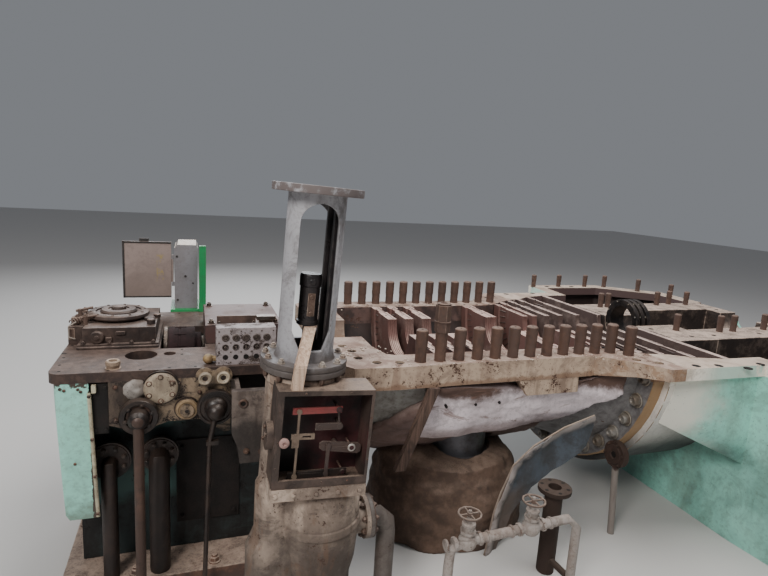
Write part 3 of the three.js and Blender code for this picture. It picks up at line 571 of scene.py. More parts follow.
def dirty_foot(f):
    low = 1 - f.ragged(f.at[2], 0.50, 0.64, 0.3, 14.0)
    f.coat(low * 0.7, (96, 92, 80))
    rim = f.ragged(f.at[2], 1.192, 1.196, 0.16, 18.0, 5.0, 0.7)
    side = f.ragged(f.at[0], -0.385, -0.383, 0.03, 22.0, 5.0, 0.7)
    f.coat(rim + side - rim * side, (66, 54, 46))


worn_paint("sea_green_panel", sea_green, (58, 48, 42), (128, 150, 134), 0.3, 0.22, 0.42,
           region=dirty_foot)
softened("corner_panel", "sea_green_panel", 0.003)
worn_paint("edge_strip", (186, 180, 154), (70, 56, 46), (120, 104, 86), 0.6, 0.6)
strip_top, strip_foot = Vector((-0.383, -0.684, 1.15)), Vector((-0.361, -0.684, 0.5))
finished("panel_edge_strip", "edge_strip", "mint_paint", rod(strip_top, strip_foot, 0.009, 10, 0.0),
         bar((-0.372, -0.69, 1.15), (-0.352, -0.668, 1.19), 0.002))
aged_iron("dark_screws", (48, 38, 34), rust_brown, hall_dust, 0.2, 0.6, 2.0)
strip_screws = [strip_top.lerp(strip_foot, share) for share in (0.02, 0.36, 0.66, 0.97)]
panel_bolts = [(-0.505, 1.176), (-0.488, 1.168), (-0.43, 1.17), (-0.418, 1.158), (-0.455, 0.79)]
finished(
    "panel_screws", "dark_screws", "mint_paint",
    *copies(peg(-0.004, 0.009, 0.0085, 10, 0.002),
            [aimed(at + Vector((0, -0.006, 0)), (0, -1, 0)) for at in strip_screws]),
    *copies(peg(-0.004, 0.005, 0.008, 6, 0.001), [on_front(x, z, -0.678) for x, z in panel_bolts]),
)

# The oil block: a beige casting on the pedestal's front that carries the bolted covers, the
# ringed caps and the flanges of the drain and of the ball actuator.


def oily_left(f):
    left = 1 - f.ragged(f.at[0], -0.2, -0.1, 0.12, 9.0, 5.0, 0.7)
    f.coat(left * 0.8, (54, 43, 37))


worn_paint("stained_oil_block", (136, 117, 96), (40, 31, 27), (46, 36, 31), 1.0, 1.15, 0.5, 1.5,
           oily_left)
softened("oil_block", "stained_oil_block", 0.0035, 2, 30)
worn_paint("cream_cover", (162, 148, 128), (78, 62, 50), (104, 88, 74), 0.8, 0.6)


def ring_of(count, radius, place, start=0.0):
    """Places round a circle in the place's own plane."""
    return [place @ Matrix.Translation((radius * cos(start + 2 * pi * i / count),
                                        radius * sin(start + 2 * pi * i / count), 0))
            for i in range(count)]


main_cover = on_front(-0.062, 1.16, -0.70)
finished(
    "bolted_cover", "cream_cover", "dusty_iron",
    spun([(0, 0.016), (0.055, 0.014), (0.07, 0.012), (0.078, 0.006), (0.08, 0.0), (0, 0.0)], main_cover,
         48),
    *[spun([(0.014, 0.0), (0.03, 0.0), (0.033, 0.004), (0.033, 0.012), (0.03, 0.016), (0.026, 0.018),
            (0.014, 0.01)], on_front(x, 1.206, -0.716)) for x in (0.146, 0.234)],
)
# Painted shade: dark seats round the cover's bolts stand for the gaps round their heads.
finished("cover_bolt_seat_shade", "dark_screws", "dusty_iron",
         *copies(peg(0.0, 0.0145, 0.0145, 14, 0.001), ring_of(6, 0.061, main_cover, pi / 6)))
finished("cover_bolts", "cream_cover", "dusty_iron",
         *copies(peg(0.006, 0.0205, 0.0105, 6, 0.003), ring_of(6, 0.061, main_cover, pi / 6)))
worn_paint("grey_boss", (132, 126, 120), (70, 58, 50), (92, 80, 70), 0.6, 0.7)
boss = blank()
bmesh.ops.create_icosphere(boss, subdivisions=4, radius=1.0)
bmesh.ops.scale(boss, vec=(0.058, 0.026, 0.052), verts=boss.verts)
for vert in boss.verts:
    vert.co += vert.normal * 0.006 * noise.noise(vert.co * 40)
finished("grey_boss", "grey_boss", "dusty_iron", boss, place=Matrix.Translation((-0.178, -0.682, 1.155)))
worn_paint("ring_cap_beige", (136, 114, 86), (56, 43, 35), (84, 68, 54), 0.5, 0.6, 0.45)
finished(
    "ring_cap", "ring_cap_beige", "dusty_iron",
    spun([(0.012, 0.004), (0.016, 0.012), (0.026, 0.012), (0.03, 0.006), (0.038, 0.006), (0.042, 0.01),
          (0.05, 0.008), (0.054, 0.0), (0.012, -0.004)], on_front(0.059, 1.04, -0.70)),
)
aged_iron("plug_black_and_ring_shadow", (30, 25, 24), (60, 44, 36), hall_dust, 0.15, 0.5, 2.0)
# Painted shadow: dark rings round the ring cap and the bolted cover, beside black plugs in the caps.
finished(
    "cap_shadow_rings", "plug_black_and_ring_shadow", "dusty_iron",
    hoop(0.056, 0.062, -0.002, 0.006, on_front(0.059, 1.04, -0.682)),
    hoop(0.081, 0.087, -0.018, -0.006, main_cover, 48), pin(0.059, 1.04, -0.70, -0.727, 0.011, 10),
    *[pin(x, 1.206, -0.71, -0.722, 0.014, 14, 0.002) for x in (0.146, 0.234)],
)
oil_bolts = [(-0.27, 1.17), (-0.27, 1.0), (-0.1, 0.975), (0.12, 1.12), (0.02, 1.175), (0.25, 1.1),
             (0.19, 0.95)]
finished("oil_block_bolts", "dark_screws", "dusty_iron",
         *copies(bolt_end(0.0095), [on_front(x, z, -0.68) for x, z in oil_bolts]))

# The drain elbow, the ball actuator and the two oil pipes: black oily iron in bolted round
# flanges on the pedestal's front, with pipes of rust brown tube that run down to the bedplate.

aged_iron("rusty_pipe", (70, 54, 47), (88, 64, 54), (128, 110, 98), 0.4, 0.5)
aged_iron("black_fitting", (34, 29, 28), (60, 48, 42), (98, 84, 74), 0.35, 0.4)
softened("drain_elbow", "rusty_pipe", 0.004)
drain_flange = on_front(-0.16, 1.037, -0.748)
finished(
    "drain_flange", "black_fitting", "oily_iron",
    spun([(0.058, 0.0), (0.064, 0.01), (0.086, 0.01), (0.09, 0.004), (0.09, -0.03), (0.078, -0.034),
          (0.058, -0.01)], drain_flange, 40),
    *copies(bolt_end(0.0105), ring_of(6, 0.062, drain_flange, 0.3)),
    spun([(0.0, 0.07), (0.03, 0.068), (0.046, 0.05), (0.05, 0.0), (0.0, 0.0)], drain_flange),
)
softened("ball_actuator", "black_fitting", 0.004)
ball_flange = on_front(0.198, 1.051, -0.728)
finished(
    "ball_socket_ring", "black_fitting", "oily_iron",
    spun([(0.074, -0.002), (0.078, 0.008), (0.09, 0.008), (0.093, 0.002), (0.093, -0.022),
          (0.086, -0.026), (0.074, -0.01)], ball_flange, 40),
    spun([(0.0, 0.036), (0.028, 0.034), (0.046, 0.024), (0.056, 0.006), (0.058, -0.01), (0.0, -0.01)],
         ball_flange, 36),
)
aged_iron("dark_pipe", (38, 31, 29), (52, 40, 35), (84, 70, 62), 0.3, 0.5)
pipe_flanges = []
for node, head, height, radius in (("oil_pipe_left", -0.318, 0.723, 0.093),
                                   ("oil_pipe_right", -0.08, 0.735, 0.088)):
    softened(node, "dark_pipe", 0.004)
    flange_face = on_front(head, height, -0.56)
    pipe_flanges += [*copies(bolt_end(0.0125), ring_of(8, radius - 0.02, flange_face, pi / 8)),
                     hoop(radius - 0.002, radius + 0.008, -0.006, -0.03, flange_face, 40)]
finished("pipe_flange_bolts", "black_fitting", "rusty_iron", *pipe_flanges)

# The port block: a mottled grey valve plate on edge, with three rows of drilled ports, closed
# by ringed hexagon plugs in the top row.

worn_paint("mottled_port_block", (152, 142, 142), (66, 54, 49), (96, 82, 77), 1.1, 0.8, 0.6, 1.6)
softened("port_block", "mottled_port_block", 0.002, 1)
port_columns = [0.246, 0.298, 0.35, 0.402, 0.454]
port_face = -0.66
ports = []
for x in port_columns:
    ports += [
        spun([(0.011, 0.0), (0.019, 0.0), (0.019, 0.004), (0.015, 0.007), (0.011, 0.006)],
             on_front(x, 1.396, port_face), 18),
        pin(x, 1.396, port_face + 0.008, port_face - 0.005, 0.0095, 6),
        hoop(0.013, 0.017, 0.0, 0.002, on_front(x, 1.345, port_face), 18),
        pin(x, 1.345, port_face + 0.02, port_face - 0.004, 0.0075, 6),
    ]
edge_screws = [(x, z) for x in (0.214, 0.272, 0.324, 0.376, 0.428, 0.488)
               for z in (1.265, 1.32, 1.37, 1.43)]
ports += copies(peg(-0.002, 0.003, 0.0045, 8, 0.001), [on_front(x, z, port_face) for x, z in edge_screws])
aged_iron("port_plug_steel", (92, 80, 74), (60, 48, 43), (150, 136, 128), 0.3, 0.5, 2.0)
finished("port_plugs", "port_plug_steel", "pale_paint", *ports)
# Painted shade in the open ports.
finished(
    "open_ports", "hole_shade_and_dark_iron", "pale_paint",
    *copies(peg(-0.02, 0.0004, 0.0125, 16, 0), [on_front(x, 1.292, port_face) for x in port_columns]),
)

# The front bearing cap: a dark red iron cap over the shaft, with a steel cover plate on edge
# at its front and four nuts that hold it down.

worn_paint("dark_red_primer", (72, 46, 43), (38, 29, 27), (70, 56, 50), 0.7, 0.6, 0.55,
           dust=(124, 104, 96))
softened("front_bearing_cap", "dark_red_primer", 0.006)
aged_iron("cap_cover_plate", (76, 64, 60), (92, 72, 64), hall_dust, 0.35, 0.5)
finished("cap_cover_plate", "cap_cover_plate", "red_primer",
         bar((0.219, -0.259, 1.347), (0.44, -0.2548, 1.4145), 0.001))
finished(
    "cap_bolts", "ground_collar", "red_primer",
    *copies(peg(0, 0.006, 0.008, 12, 0.002), [on_front(x, 1.376, -0.259) for x in (0.233, 0.427)]),
    *copies(bolt_end(0.017), [aimed((x, y, 1.36)) for x in (0.19, 0.56) for y in (-0.21, 0.25)]),
    bar((0.455, -0.30, 1.25), (0.535, -0.262, 1.405), 0.004),
    bar((0.44, -0.31, 1.395), (0.55, -0.255, 1.42), 0.004),
)

# The governor casing: a low oily iron box with a stepped flange, the governor's ring and its
# square hub on top, and the levers and springs of the speed gear at its left end.

aged_iron("greasy_governor", (52, 44, 42), (70, 56, 50), (132, 114, 104), 0.6, 0.5)
softened("governor_casing", "greasy_governor", 0.007, 3)
hub = aimed((-0.32, -0.02, 0))
gear_places = ring_of(10, 0.143, hub @ Matrix.Translation((0, 0, 1.396)), 0.2)
finished(
    "governor_ring", "greasy_governor", "rusty_iron",
    spun([(0.118, 1.388), (0.122, 1.404), (0.15, 1.404), (0.163, 1.396), (0.166, 1.382), (0.16, 1.374),
          (0.118, 1.374)], hub, 56),
    spun([(0.05, 1.404), (0.056, 1.416), (0.09, 1.414), (0.098, 1.404), (0.098, 1.392), (0.05, 1.392)],
         hub, 48),
    *copies(peg(0, 0.012, 0.0085, 6, 0.002), gear_places),
    *copies(bar((0.088, -0.009, 1.384), (0.128, 0.009, 1.4), 0.003),
            [hub @ Matrix.Rotation(turn, 4, "Z") for turn in (0.5, 1.9, 3.4, 4.9)]),
    spun([(0.0, 1.43), (0.02, 1.432), (0.036, 1.428), (0.04, 1.415), (0.04, 1.4), (0.0, 1.4)], hub),
    bar((-0.5, -0.3, 1.2503), (-0.09, 0.24, 1.266), 0.005),
    *copies(bolt_end(0.011), [aimed((x, -0.28, 1.276)) for x in (-0.47, -0.34, -0.23, -0.12)]),
    spun([(0.0, 0.012), (0.012, 0.01), (0.014, 0.004), (0.03, 0.004), (0.034, 0.0), (0.034, -0.012),
          (0, -0.012)], on_front(-0.402, 1.312, -0.286)),
    bar((-0.31, -0.278, 1.322), (-0.262, -0.266, 1.342), 0.003),
    bar((-0.36, -0.28, 1.288), (-0.33, -0.266, 1.31), 0.003),
    post(-0.135, -0.2, 1.36, 1.392, 0.022, 16, 0.004), post(-0.112, -0.04, 1.36, 1.384, 0.02, 16, 0.004),
    post(-0.15, -0.1, 1.362, 1.378, 0.03, 16, 0.003),
)
aged_iron("dusty_speed_gear", (100, 82, 73), (84, 64, 55), (150, 130, 116), 0.6, 0.7, 2.0)


def spring(start, end, coil_radius, wire, turns):
    """A coil spring of round wire between two points."""
    start, end = Vector(start), Vector(end)
    part = blank()
    section = bmesh.ops.create_circle(
        part, cap_ends=False, segments=8, radius=wire,
        matrix=Matrix.Translation((coil_radius, 0, 0)) @ Matrix.Rotation(pi / 2, 4, "X"),
    )["verts"]
    steps = turns * 14
    bmesh.ops.spin(part, geom=section + list(part.edges), cent=(0, 0, 0), axis=(0, 0, 1),
                   angle=2 * pi * turns, dvec=(0, 0, (end - start).length / steps), steps=steps)
    bmesh.ops.holes_fill(part, edges=[e for e in part.edges if e.is_boundary], sides=8)
    bmesh.ops.recalc_face_normals(part, faces=part.faces)
    return moved(part, aimed(start, end - start))


finished(
    "speed_gear", "dusty_speed_gear", "rusty_iron",
    spring((-0.545, -0.16, 1.366), (-0.46, -0.1, 1.385), 0.016, 0.0035, 8),
    spring((-0.54, -0.06, 1.37), (-0.47, -0.05, 1.39), 0.013, 0.003, 7),
    bar((-0.548, -0.14, 1.352), (-0.49, -0.1, 1.392), 0.005),
    bar((-0.53, -0.03, 1.352), (-0.485, 0.015, 1.405), 0.006), post(-0.51, -0.09, 1.352, 1.43, 0.011, 12),
    rod((-0.53, -0.09, 1.418), (-0.45, -0.05, 1.428), 0.008, 10),
    post(-0.47, -0.18, 1.362, 1.41, 0.012, 12), rod((-0.49, -0.19, 1.4), (-0.42, -0.13, 1.4), 0.007, 10),
    bar((-0.556, -0.195, 1.28), (-0.52, -0.15, 1.345), 0.006),
    *copies(bolt_end(0.009),
            [aimed(at) for at in ((-0.52, -0.12, 1.392), (-0.5, 0, 1.405), (-0.47, -0.18, 1.41))]),
)
aged_iron("bright_wire", (190, 186, 178), (150, 140, 130), hall_dust, 0.2, 0.4)
wire_foot, wire_bend = (-0.548, -0.21, 1.30), (-0.548, -0.21, 1.36)
wire_runs = [(wire_foot, wire_bend), (wire_bend, (-0.51, -0.21, 1.385)),
             (wire_foot, (-0.52, -0.2, 1.285))]
finished("locking_wire", "bright_wire", "rusty_iron",
         *[rod(start, end, 0.0035, 8, 0) for start, end in wire_runs])

# The panel box: a grey steel terminal box that stands on a green bracket and post behind the
# governor, with its door swung open on two knuckles and black rubber strips along its edges.

worn_paint("bright_green_paint", (30, 134, 76), (110, 96, 84), (60, 110, 74), 0.1, 0.25, 0.4)
softened("panel_box_bracket", "bright_green_paint", 0.002)


def dusty_top(f):
    f.coat(f.between(f.face[2], 0.5, 0.9), (204, 186, 166))


worn_paint("box_side_grey", (126, 124, 128), (92, 84, 78), (110, 104, 102), 0.15, 0.4, 0.45,
           region=dusty_top)
softened("panel_box", "box_side_grey", 0.002)


def cloudy_door(f):
    low = 1 - f.between(f.at[2] + f.clouds(5.0) * 0.3, 1.45, 1.85)
    f.coat(low * 0.6, (112, 98, 90))
    glue = f.between(f.at[0], -0.15, -0.145) * (1 - f.between(f.at[0], -0.105, -0.1))
    glue = glue * f.between(f.at[2], 1.45, 1.47) * (1 - f.between(f.at[2], 1.64, 1.66))
    f.coat(glue * f.patches(0.46, 0.56, 30.0, 5.0) * 0.7, (150, 132, 76))


worn_paint("door_grey_brown", (140, 124, 118), (96, 84, 76), (124, 110, 104), 0.1, 0.35, 0.5,
           region=cloudy_door)
softened("panel_box_door", "door_grey_brown", 0.0015)
door_low, door_high = Vector((-0.362, 0.586, 1.349)), Vector((-0.052, 0.59, 1.741))
aged_iron("black_door_strip", (34, 30, 29), (52, 44, 40), (96, 86, 80), 0.15, 0.6, 2.0, 0.0)
finished(
    "panel_door_strip", "black_door_strip", "grey_paint",
    bar(door_low, (door_low.x + 0.013, door_high.y, door_high.z)),
    bar((door_low.x, door_low.y, door_high.z - 0.012), door_high),
    bar(door_low, (door_high.x, door_high.y, door_low.z + 0.012)),
    bar((-0.256, 0.59, 1.742), (-0.194, 0.603, 1.7625), 0.003), body="panel_door",
)
finished(
    "panel_box_screws", "black_door_strip", "grey_paint",
    *copies(peg(0, 0.004, 0.008, 12, 0.001),
            [on_front(x, z, 0.596) for x, z in ((-0.015, 1.64), (-0.012, 1.33), (0.04, 1.5))]),
    pin(0.09, 1.45, 0.60, 0.592, 0.006, 10),
)

# The linkage box: an open fronted iron box with a wide planed frame, cream once and now worn to
# brown, and red primer inside. It leans with the whole valve stand towards the casing.

lean_angle = radians(2.9)
lean_foot = Vector((0.617, 0, 0.882))
lean_turn = Matrix.Rotation(lean_angle, 4, "Y")
stand_lean = Matrix.Translation(lean_foot) @ lean_turn @ Matrix.Translation(-lean_foot)


def stand_place(f):
    """Where a point lies across and up the stand, as if it stood upright."""
    across, up = f.at[0] - lean_foot.x, f.at[2] - lean_foot.z
    return (across * cos(lean_angle) - up * sin(lean_angle) + lean_foot.x,
            across * sin(lean_angle) + up * cos(lean_angle) + lean_foot.z)


def inside_box(f):
    across, up = stand_place(f)
    inner = (f.between(across, 0.423, 0.4245) * (1 - f.between(across, 0.8195, 0.8205))
             * f.between(up, 0.8885, 0.8895) * (1 - f.between(up, 1.3175, 1.3185))
             * f.between(f.at[1], -1.2990, -1.2975) * (1 - f.between(f.at[1], -1.1545, -1.1535)))
    grimy = f.patches(0.42, 0.6, 4.0, 4.0)
    primer = f.blend(grimy, (66, 28, 30), (30, 20, 20))
    left = 1 - f.between(across + f.clouds(6.0) * 0.08, 0.55, 0.72)
    primer = f.blend(left * 0.75, primer, (22, 18, 17))
    f.coat(inner, primer)


worn_paint("worn_box_beige", (76, 61, 53), (50, 38, 33), (54, 43, 38), 0.6, 0.85, 0.6, region=inside_box,
           dust=(164, 142, 124))
softened("linkage_box", "worn_box_beige", 0.004, 2)
frame_spots = [(0.412, 0.98), (0.414, 1.24), (0.52, 1.319), (0.72, 1.319), (0.824, 1.2), (0.825, 1.0),
               (0.5, 0.905), (0.62, 0.905), (0.74, 0.905), (0.414, 1.1)]
finished(
    "box_screws", "dark_screws", "dusty_iron",
    *copies(peg(-0.004, 0.0015, 0.0045, 10, 0.0005), [on_front(x, z, -1.30) for x, z in frame_spots]),
    *copies(peg(0, 0.01, 0.011, 6, 0.002),
            [aimed((0.372, y, z), (-1, 0, 0))
             for y, z in ((-1.25, 1.12), (-1.18, 1.07), (-1.215, 1.14))]),
    place=stand_lean,
)
worn_paint("dusty_pink_roller", (150, 112, 108), (84, 62, 58), (176, 150, 140), 0.4, 0.4)
finished(
    "box_roller", "dusty_pink_roller", "dusty_iron",
    spun([(0.0, 0.008), (0.007, 0.008), (0.009, 0.014), (0.017, 0.013), (0.022, 0.009), (0.022, 0.0),
          (0.0, 0.0)], on_front(0.442, 1.099, -1.2985)),
    place=stand_lean,
)

# The valve linkage in the box: flat forged levers on round pins, a slotted link and thin rods,
# the upper one in red primer and the rest dusty brown.

worn_paint("lever_red_primer", (134, 54, 52), (70, 44, 42), (104, 66, 62), 0.35, 0.5, 0.5, 2.0)
aged_iron("dusty_lever", (78, 66, 62), (72, 54, 48), (132, 116, 106), 0.5, 0.6, 2.0)
aged_iron("dark_lever", (46, 40, 38), (60, 46, 42), (92, 82, 76), 0.4, 0.5, 2.0)
aged_iron("tan_link", (142, 124, 108), (92, 72, 60), (168, 150, 134), 0.5, 0.5, 2.0)
for node, finish in (("upper_lever", "lever_red_primer"), ("right_lever", "dusty_lever"),
                     ("lower_lever", "dark_lever"), ("link_rod", "tan_link"),
                     ("slotted_link", "dusty_lever")):
    softened(node, finish, 0.0008, 2, 30)
lever_ribs = [
    ("upper_lever", (0.53, -1.2475, 1.2145), (0.674, -1.2455, 1.2225), "lever_red_primer"),
    ("right_lever", (0.672, -1.2485, 1.0325), (0.744, -1.2455, 1.0445), "dusty_lever"),
    ("lower_lever", (0.53, -1.2475, 0.915), (0.63, -1.2455, 0.922), "dark_lever"),
]
for body, rib_low, rib_high, finish in lever_ribs:
    finished(f"{body}_rib", finish, slot_of[body], bar(rib_low, rib_high, 0.001), place=stand_lean,
             body=body)
aged_iron("white_washer", (206, 200, 194), (150, 140, 132), hall_dust, 0.1, 0.4, 3.0)


def lever_washer(x, z, inner, outer):
    profile = [(inner, 0.0), (outer, 0.0), (outer, 0.0024), (outer - 0.002, 0.004), (inner, 0.004)]
    return spun(profile, on_front(x, z, -1.2468), 24)


finished("white_washer", "white_washer", "bare_steel", lever_washer(0.762, 1.036, 0.0112, 0.0185),
         place=stand_lean)
finished("lever_washers", "dark_lever", "bare_steel", lever_washer(0.688, 1.22, 0.0112, 0.0145),
         lever_washer(0.73, 0.92, 0.0112, 0.014), place=stand_lean)
finished(
    "fixed_rocker", "dusty_lever", "bare_steel",
    bar((0.590, -1.229, 1.116), (0.711, -1.221, 1.150), 0.003),
    pin(0.704, 1.133, -1.225, -1.155, 0.009, 12), pin(0.704, 1.133, -1.231, -1.220, 0.014, 12),
    pin(0.612, 1.133, -1.231, -1.220, 0.011, 12),
    rod((0.692, -1.225, 1.20), (0.7, -1.225, 1.145), 0.005, 10),
    bar((0.66, -1.228, 1.05), (0.745, -1.222, 1.012), 0.003), pin(0.70, 1.03, -1.225, -1.155, 0.012, 12),
    place=stand_lean,
)

# The actuator yoke: a round cast column with a tall window in front and behind, painted grey,
# with black grease inside, bolted to the valve's bonnet by twelve studs.


def greasy_inside(f):
    across, up = stand_place(f)
    middle = across - 0.548
    deep = f.at[1] + 1.06
    near_axis = 1 - f.between(middle * middle + deep * deep, 0.0120, 0.0126)
    grease = f.blend(f.patches(0.45, 0.6, 8.0, 4.0, 0.6, (1, 1, 0.2)), (30, 28, 30), (62, 58, 60))
    foot = 1 - f.between(up + (f.clouds(9.0, 5.0) - 0.5) * 0.12, 1.40, 1.47)
    f.coat(foot * 0.9, (72, 62, 56))
    head = f.between(up, 2.153, 2.156)
    f.coat(head * f.patches(0.3, 0.5, 24.0, 5.0, 0.7), (104, 94, 92))
    f.coat(near_axis * f.between(up, 1.42, 1.425) * (1 - head), grease)


worn_paint("yoke_grey", (162, 161, 165), (104, 96, 92), (120, 114, 113), 0.3, 0.7, 0.55, 1.6,
           greasy_inside)
softened("actuator_yoke", "yoke_grey", 0.004, 2)
upright_yoke = Matrix.Translation((0.548, -1.06, 0))
yoke_axis = stand_lean @ upright_yoke
aged_iron("flange_nuts", (150, 142, 134), (110, 84, 70), (180, 164, 148), 0.5, 0.6, 1.5)
aged_iron("dark_nuts", (76, 62, 56), (92, 68, 56), (130, 112, 98), 0.3, 0.6, 1.5)
nut_ring = ring_of(12, 0.178, yoke_axis, pi / 12)
finished("yoke_nuts", "flange_nuts", "pale_paint",
         *copies(bolt_end(0.0145), [place @ Matrix.Translation((0, 0, 1.415)) for place in nut_ring]))
finished(
    "yoke_under_nuts", "dark_nuts", "pale_paint",
    *copies(joined(peg(1.338, 1.3602, 0.0135, 6, 0.002), peg(1.332, 1.34, 0.009, 10)),
            ring_of(12, 0.185, yoke_axis, pi / 12)),
)
aged_iron("greasy_black", (34, 32, 34), (54, 48, 48), (88, 80, 78), 0.2, 0.35, 2.0)
rails = [((0.628, -1.082, 1.47), (0.647, -1.05, 2.14)), ((0.612, -1.012, 1.47), (0.632, -0.99, 2.14)),
         ((0.449, -1.08, 1.47), (0.466, -1.04, 2.14)), ((0.44, -1.035, 1.5), (0.448, -1.0, 1.545))]
finished("yoke_rails", "greasy_black", "pale_paint", *[bar(low, high, 0.003) for low, high in rails],
         place=stand_lean)

# The valve spindle: a steel rod through the yoke's foot with a split coupling block on its top
# end, black with grease. It slides with the valve.

softened("valve_spindle", "greasy_black", 0.003)
aged_iron("worn_coupling", (150, 132, 116), (88, 66, 56), hall_dust, 0.2, 0.5, 2.0)
finished(
    "coupling_keeper", "worn_coupling", "bare_steel",
    bar((0.532, -1.11, 1.61), (0.566, -1.1045, 1.715), 0.004),
    *[pin(0.548, z, -1.11, -1.117, 0.009, 6) for z in (1.625, 1.70)], place=stand_lean, body="spindle",
)
finished(
    "coupling_bands", "greasy_black", "bare_steel",
    spun([(0.044, 1.74), (0.05, 1.744), (0.05, 1.79), (0.046, 1.8), (0.04, 1.8)], upright_yoke),
    pin(0.548, 1.768, -1.108, -1.115, 0.013, 12, 0.002),
    spun([(0.04, 1.566), (0.05, 1.566), (0.05, 1.584), (0.04, 1.588)], upright_yoke), place=stand_lean,
    body="spindle",
)

# The timber: a short block on the linkage box and a rough sawn baulk that leans from it over
# the sill of the yoke. Both are loose, as the fitters left them.


def timber_finish(name, pale, dark):
    """Sawn wood: grain that runs upwards, knots, grimy edges and pits."""
    f = Finish(name)
    grain = f.clouds(1.0, 5.0, 0.6, (60.0, 60.0, 3.0), 1.2)
    knots = f.patches(0.58, 0.66, 7.0, 3.0)
    f.colour = f.blend(f.between(grain, 0.35, 0.65), pale, dark)
    f.coat(knots * 0.6, dark, 0.6)
    wear = f.node("ShaderNodeAttribute", {"attribute_name": "wear"}, output="Fac")
    f.coat(wear * 0.5, dark, 0.75)
    pits = f.patches(0.6, 0.7, 160.0, 2.0)
    f.coat(pits * 0.5, dark, 0.5)
    f.done(0.85 - knots * 0.1, grain + pits * -0.5, 0.0015)


timber_finish("sawn_baulk", (206, 180, 158), (168, 138, 118))
softened("timber_baulk", "sawn_baulk", 0.0025)

# The valve body: a tall cream casting with a round chest at its side, its bonnet behind the
# linkage box, and an outlet flange whose elbow drops to the ground.


def dark_foot(f):
    low = 1 - f.ragged(f.at[2], 0.42, 0.8, 0.5, 4.0, 5.0)
    f.coat(low * 0.85, (58, 49, 44))
    stain = f.patches(0.53, 0.62, 5.0, 7.0, 0.75, (1.0, 1.0, 0.5), 0.8)
    f.coat(stain * 0.55, (104, 78, 60))


worn_paint("flaking_cream", (182, 163, 147), (76, 58, 49), (92, 78, 69), 0.8, 0.75, 0.65, 0.8, dark_foot)
softened("valve_body", "flaking_cream", 0.006)
worn_paint("elbow_grey", (92, 84, 79), (60, 47, 42), (72, 61, 55), 0.6, 0.7)
softened("outlet_elbow", "elbow_grey", 0.004)
outlet_face = aimed((0.926, -1.11, 0.578), (1, 0, 0))
outlet_back = aimed((0.884, -1.11, 0.578), (-1, 0, 0))
finished(
    "outlet_bolts", "dark_nuts", "grey_paint",
    *copies(bolt_end(0.0145), ring_of(8, 0.082, outlet_face, pi / 8)),
    *copies(bolt_end(0.0145), ring_of(8, 0.084, outlet_back, pi / 8)),
    spun([(0.09, 0.0), (0.1045, 0.0), (0.1045, 0.004), (0.09, 0.008)], outlet_face, 32),
)
chest_cover = aimed((0.43, -1.238, 0.33), (-0.1, -1, 0))
body_bolts = [(0.42, 0.855), (0.50, 0.855), (0.60, 0.855), (0.70, 0.855), (0.80, 0.855)]
finished(
    "body_cover", "flaking_cream", "pale_paint",
    spun([(0.0, 0.014), (0.05, 0.014), (0.066, 0.008), (0.068, -0.02), (0.0, -0.02)], chest_cover, 36),
    *copies(bolt_end(0.0085), ring_of(6, 0.052, chest_cover @ Matrix.Translation((0, 0, 0.01)), 0.2)),
    *[moved(pin(x, z, -1.304, -1.313, 0.0115, 6, 0.002), stand_lean) for x, z in body_bolts],
    spun([(0.168, 1.30), (0.176, 1.31), (0.176, 1.345), (0.168, 1.352)], yoke_axis, 48),
    spun([(0.209, 0.60), (0.216, 0.606), (0.216, 0.64), (0.209, 0.646)],
         Matrix.Translation((0.655, -1.092, 0)), 48),
)

# The arm between the pedestal and the stand: a rusty iron bracket with a ringed bore near its
# top, held at its foot by two bolts.


def dark_below(f):
    low = 1 - f.ragged(f.at[2], 1.0, 1.1, 0.2, 6.0, 5.0)
    f.coat(low * 0.8, (40, 35, 33))


worn_paint("scuffed_arm", (112, 100, 92), (60, 48, 43), (70, 59, 54), 0.5, 0.9, 0.6, 1.3, dark_below)
softened("stand_arm", "scuffed_arm", 0.004)
finished(
    "arm_fittings", "dark_nuts", "rusty_iron",
    spun([(0.012, 0.0), (0.022, 0.0), (0.023, 0.004), (0.018, 0.008), (0.012, 0.006)],
         on_front(0.313, 1.154, -0.95), 24),
    *copies(bolt_end(0.012), [on_front(x, z, -0.95) for x, z in ((0.33, 0.91), (0.40, 0.9))]),
)
# Painted shade in the arm's bore.
finished("arm_bore", "hole_shade_and_dark_iron", "rusty_iron", pin(0.313, 1.154, -0.94, -0.9515, 0.0125, 16, 0))

# The joint flanges of the lower casing: thick cast iron ledges on both sides of the shell, cream
# once, scaled with rust, with bare dusty joint faces that stood under the upper casing.

joint_height = 1.25


def on_joint(part, places):
    """One copy of the part at each place on the joint."""
    return copies(part, [aimed((x, y, joint_height)) for x, y in places])


def flange_wear(f):
    side = 1 - f.between(f.face[2], 0.5, 0.8)
    foot = 1 - f.ragged(f.at[2], 1.135, 1.155, 0.1, 11.0, 6.0, 0.7)
    foot = foot * f.between(f.at[2], 1.11, 1.125)
    f.coat(foot * side * 0.7, (122, 92, 70))
    lug = 1 - f.between(f.at[2], 1.118, 1.122)
    lug_runs = f.patches(0.48, 0.6, 26.0, 5.0, 0.65, (1.0, 1.0, 0.08))
    f.coat(lug * lug_runs * 0.5, (120, 100, 86))
    orange = f.between(f.at[0] + f.clouds(3.0) * 0.4, 2.5, 2.8) * side
    flakes = f.patches(0.5, 0.57, 13.0, 7.0, 0.75, twist=0.8)
    f.coat(orange * flakes * 0.6, (140, 104, 74))
    runs = f.patches(0.56, 0.66, 16.0, 5.0, 0.65, (1.0, 1.0, 0.1))
    f.coat(runs * side * 0.5, (112, 82, 66))
    inner = side * (1 - f.between(f.face[1] * f.at[1], -0.3, -0.1))
    grimy = f.blend(f.patches(0.4, 0.6, 8.0, 5.0, 0.7), (92, 70, 64), (58, 44, 41))
    f.coat(inner, grimy)
    bare = f.between(f.face[2], 0.6, 0.9)
    joint = f.blend(f.patches(0.42, 0.62, 7.0, 6.0, 0.7, twist=0.5), (176, 156, 144), (120, 92, 82))
    f.coat(bare * 0.85, joint)


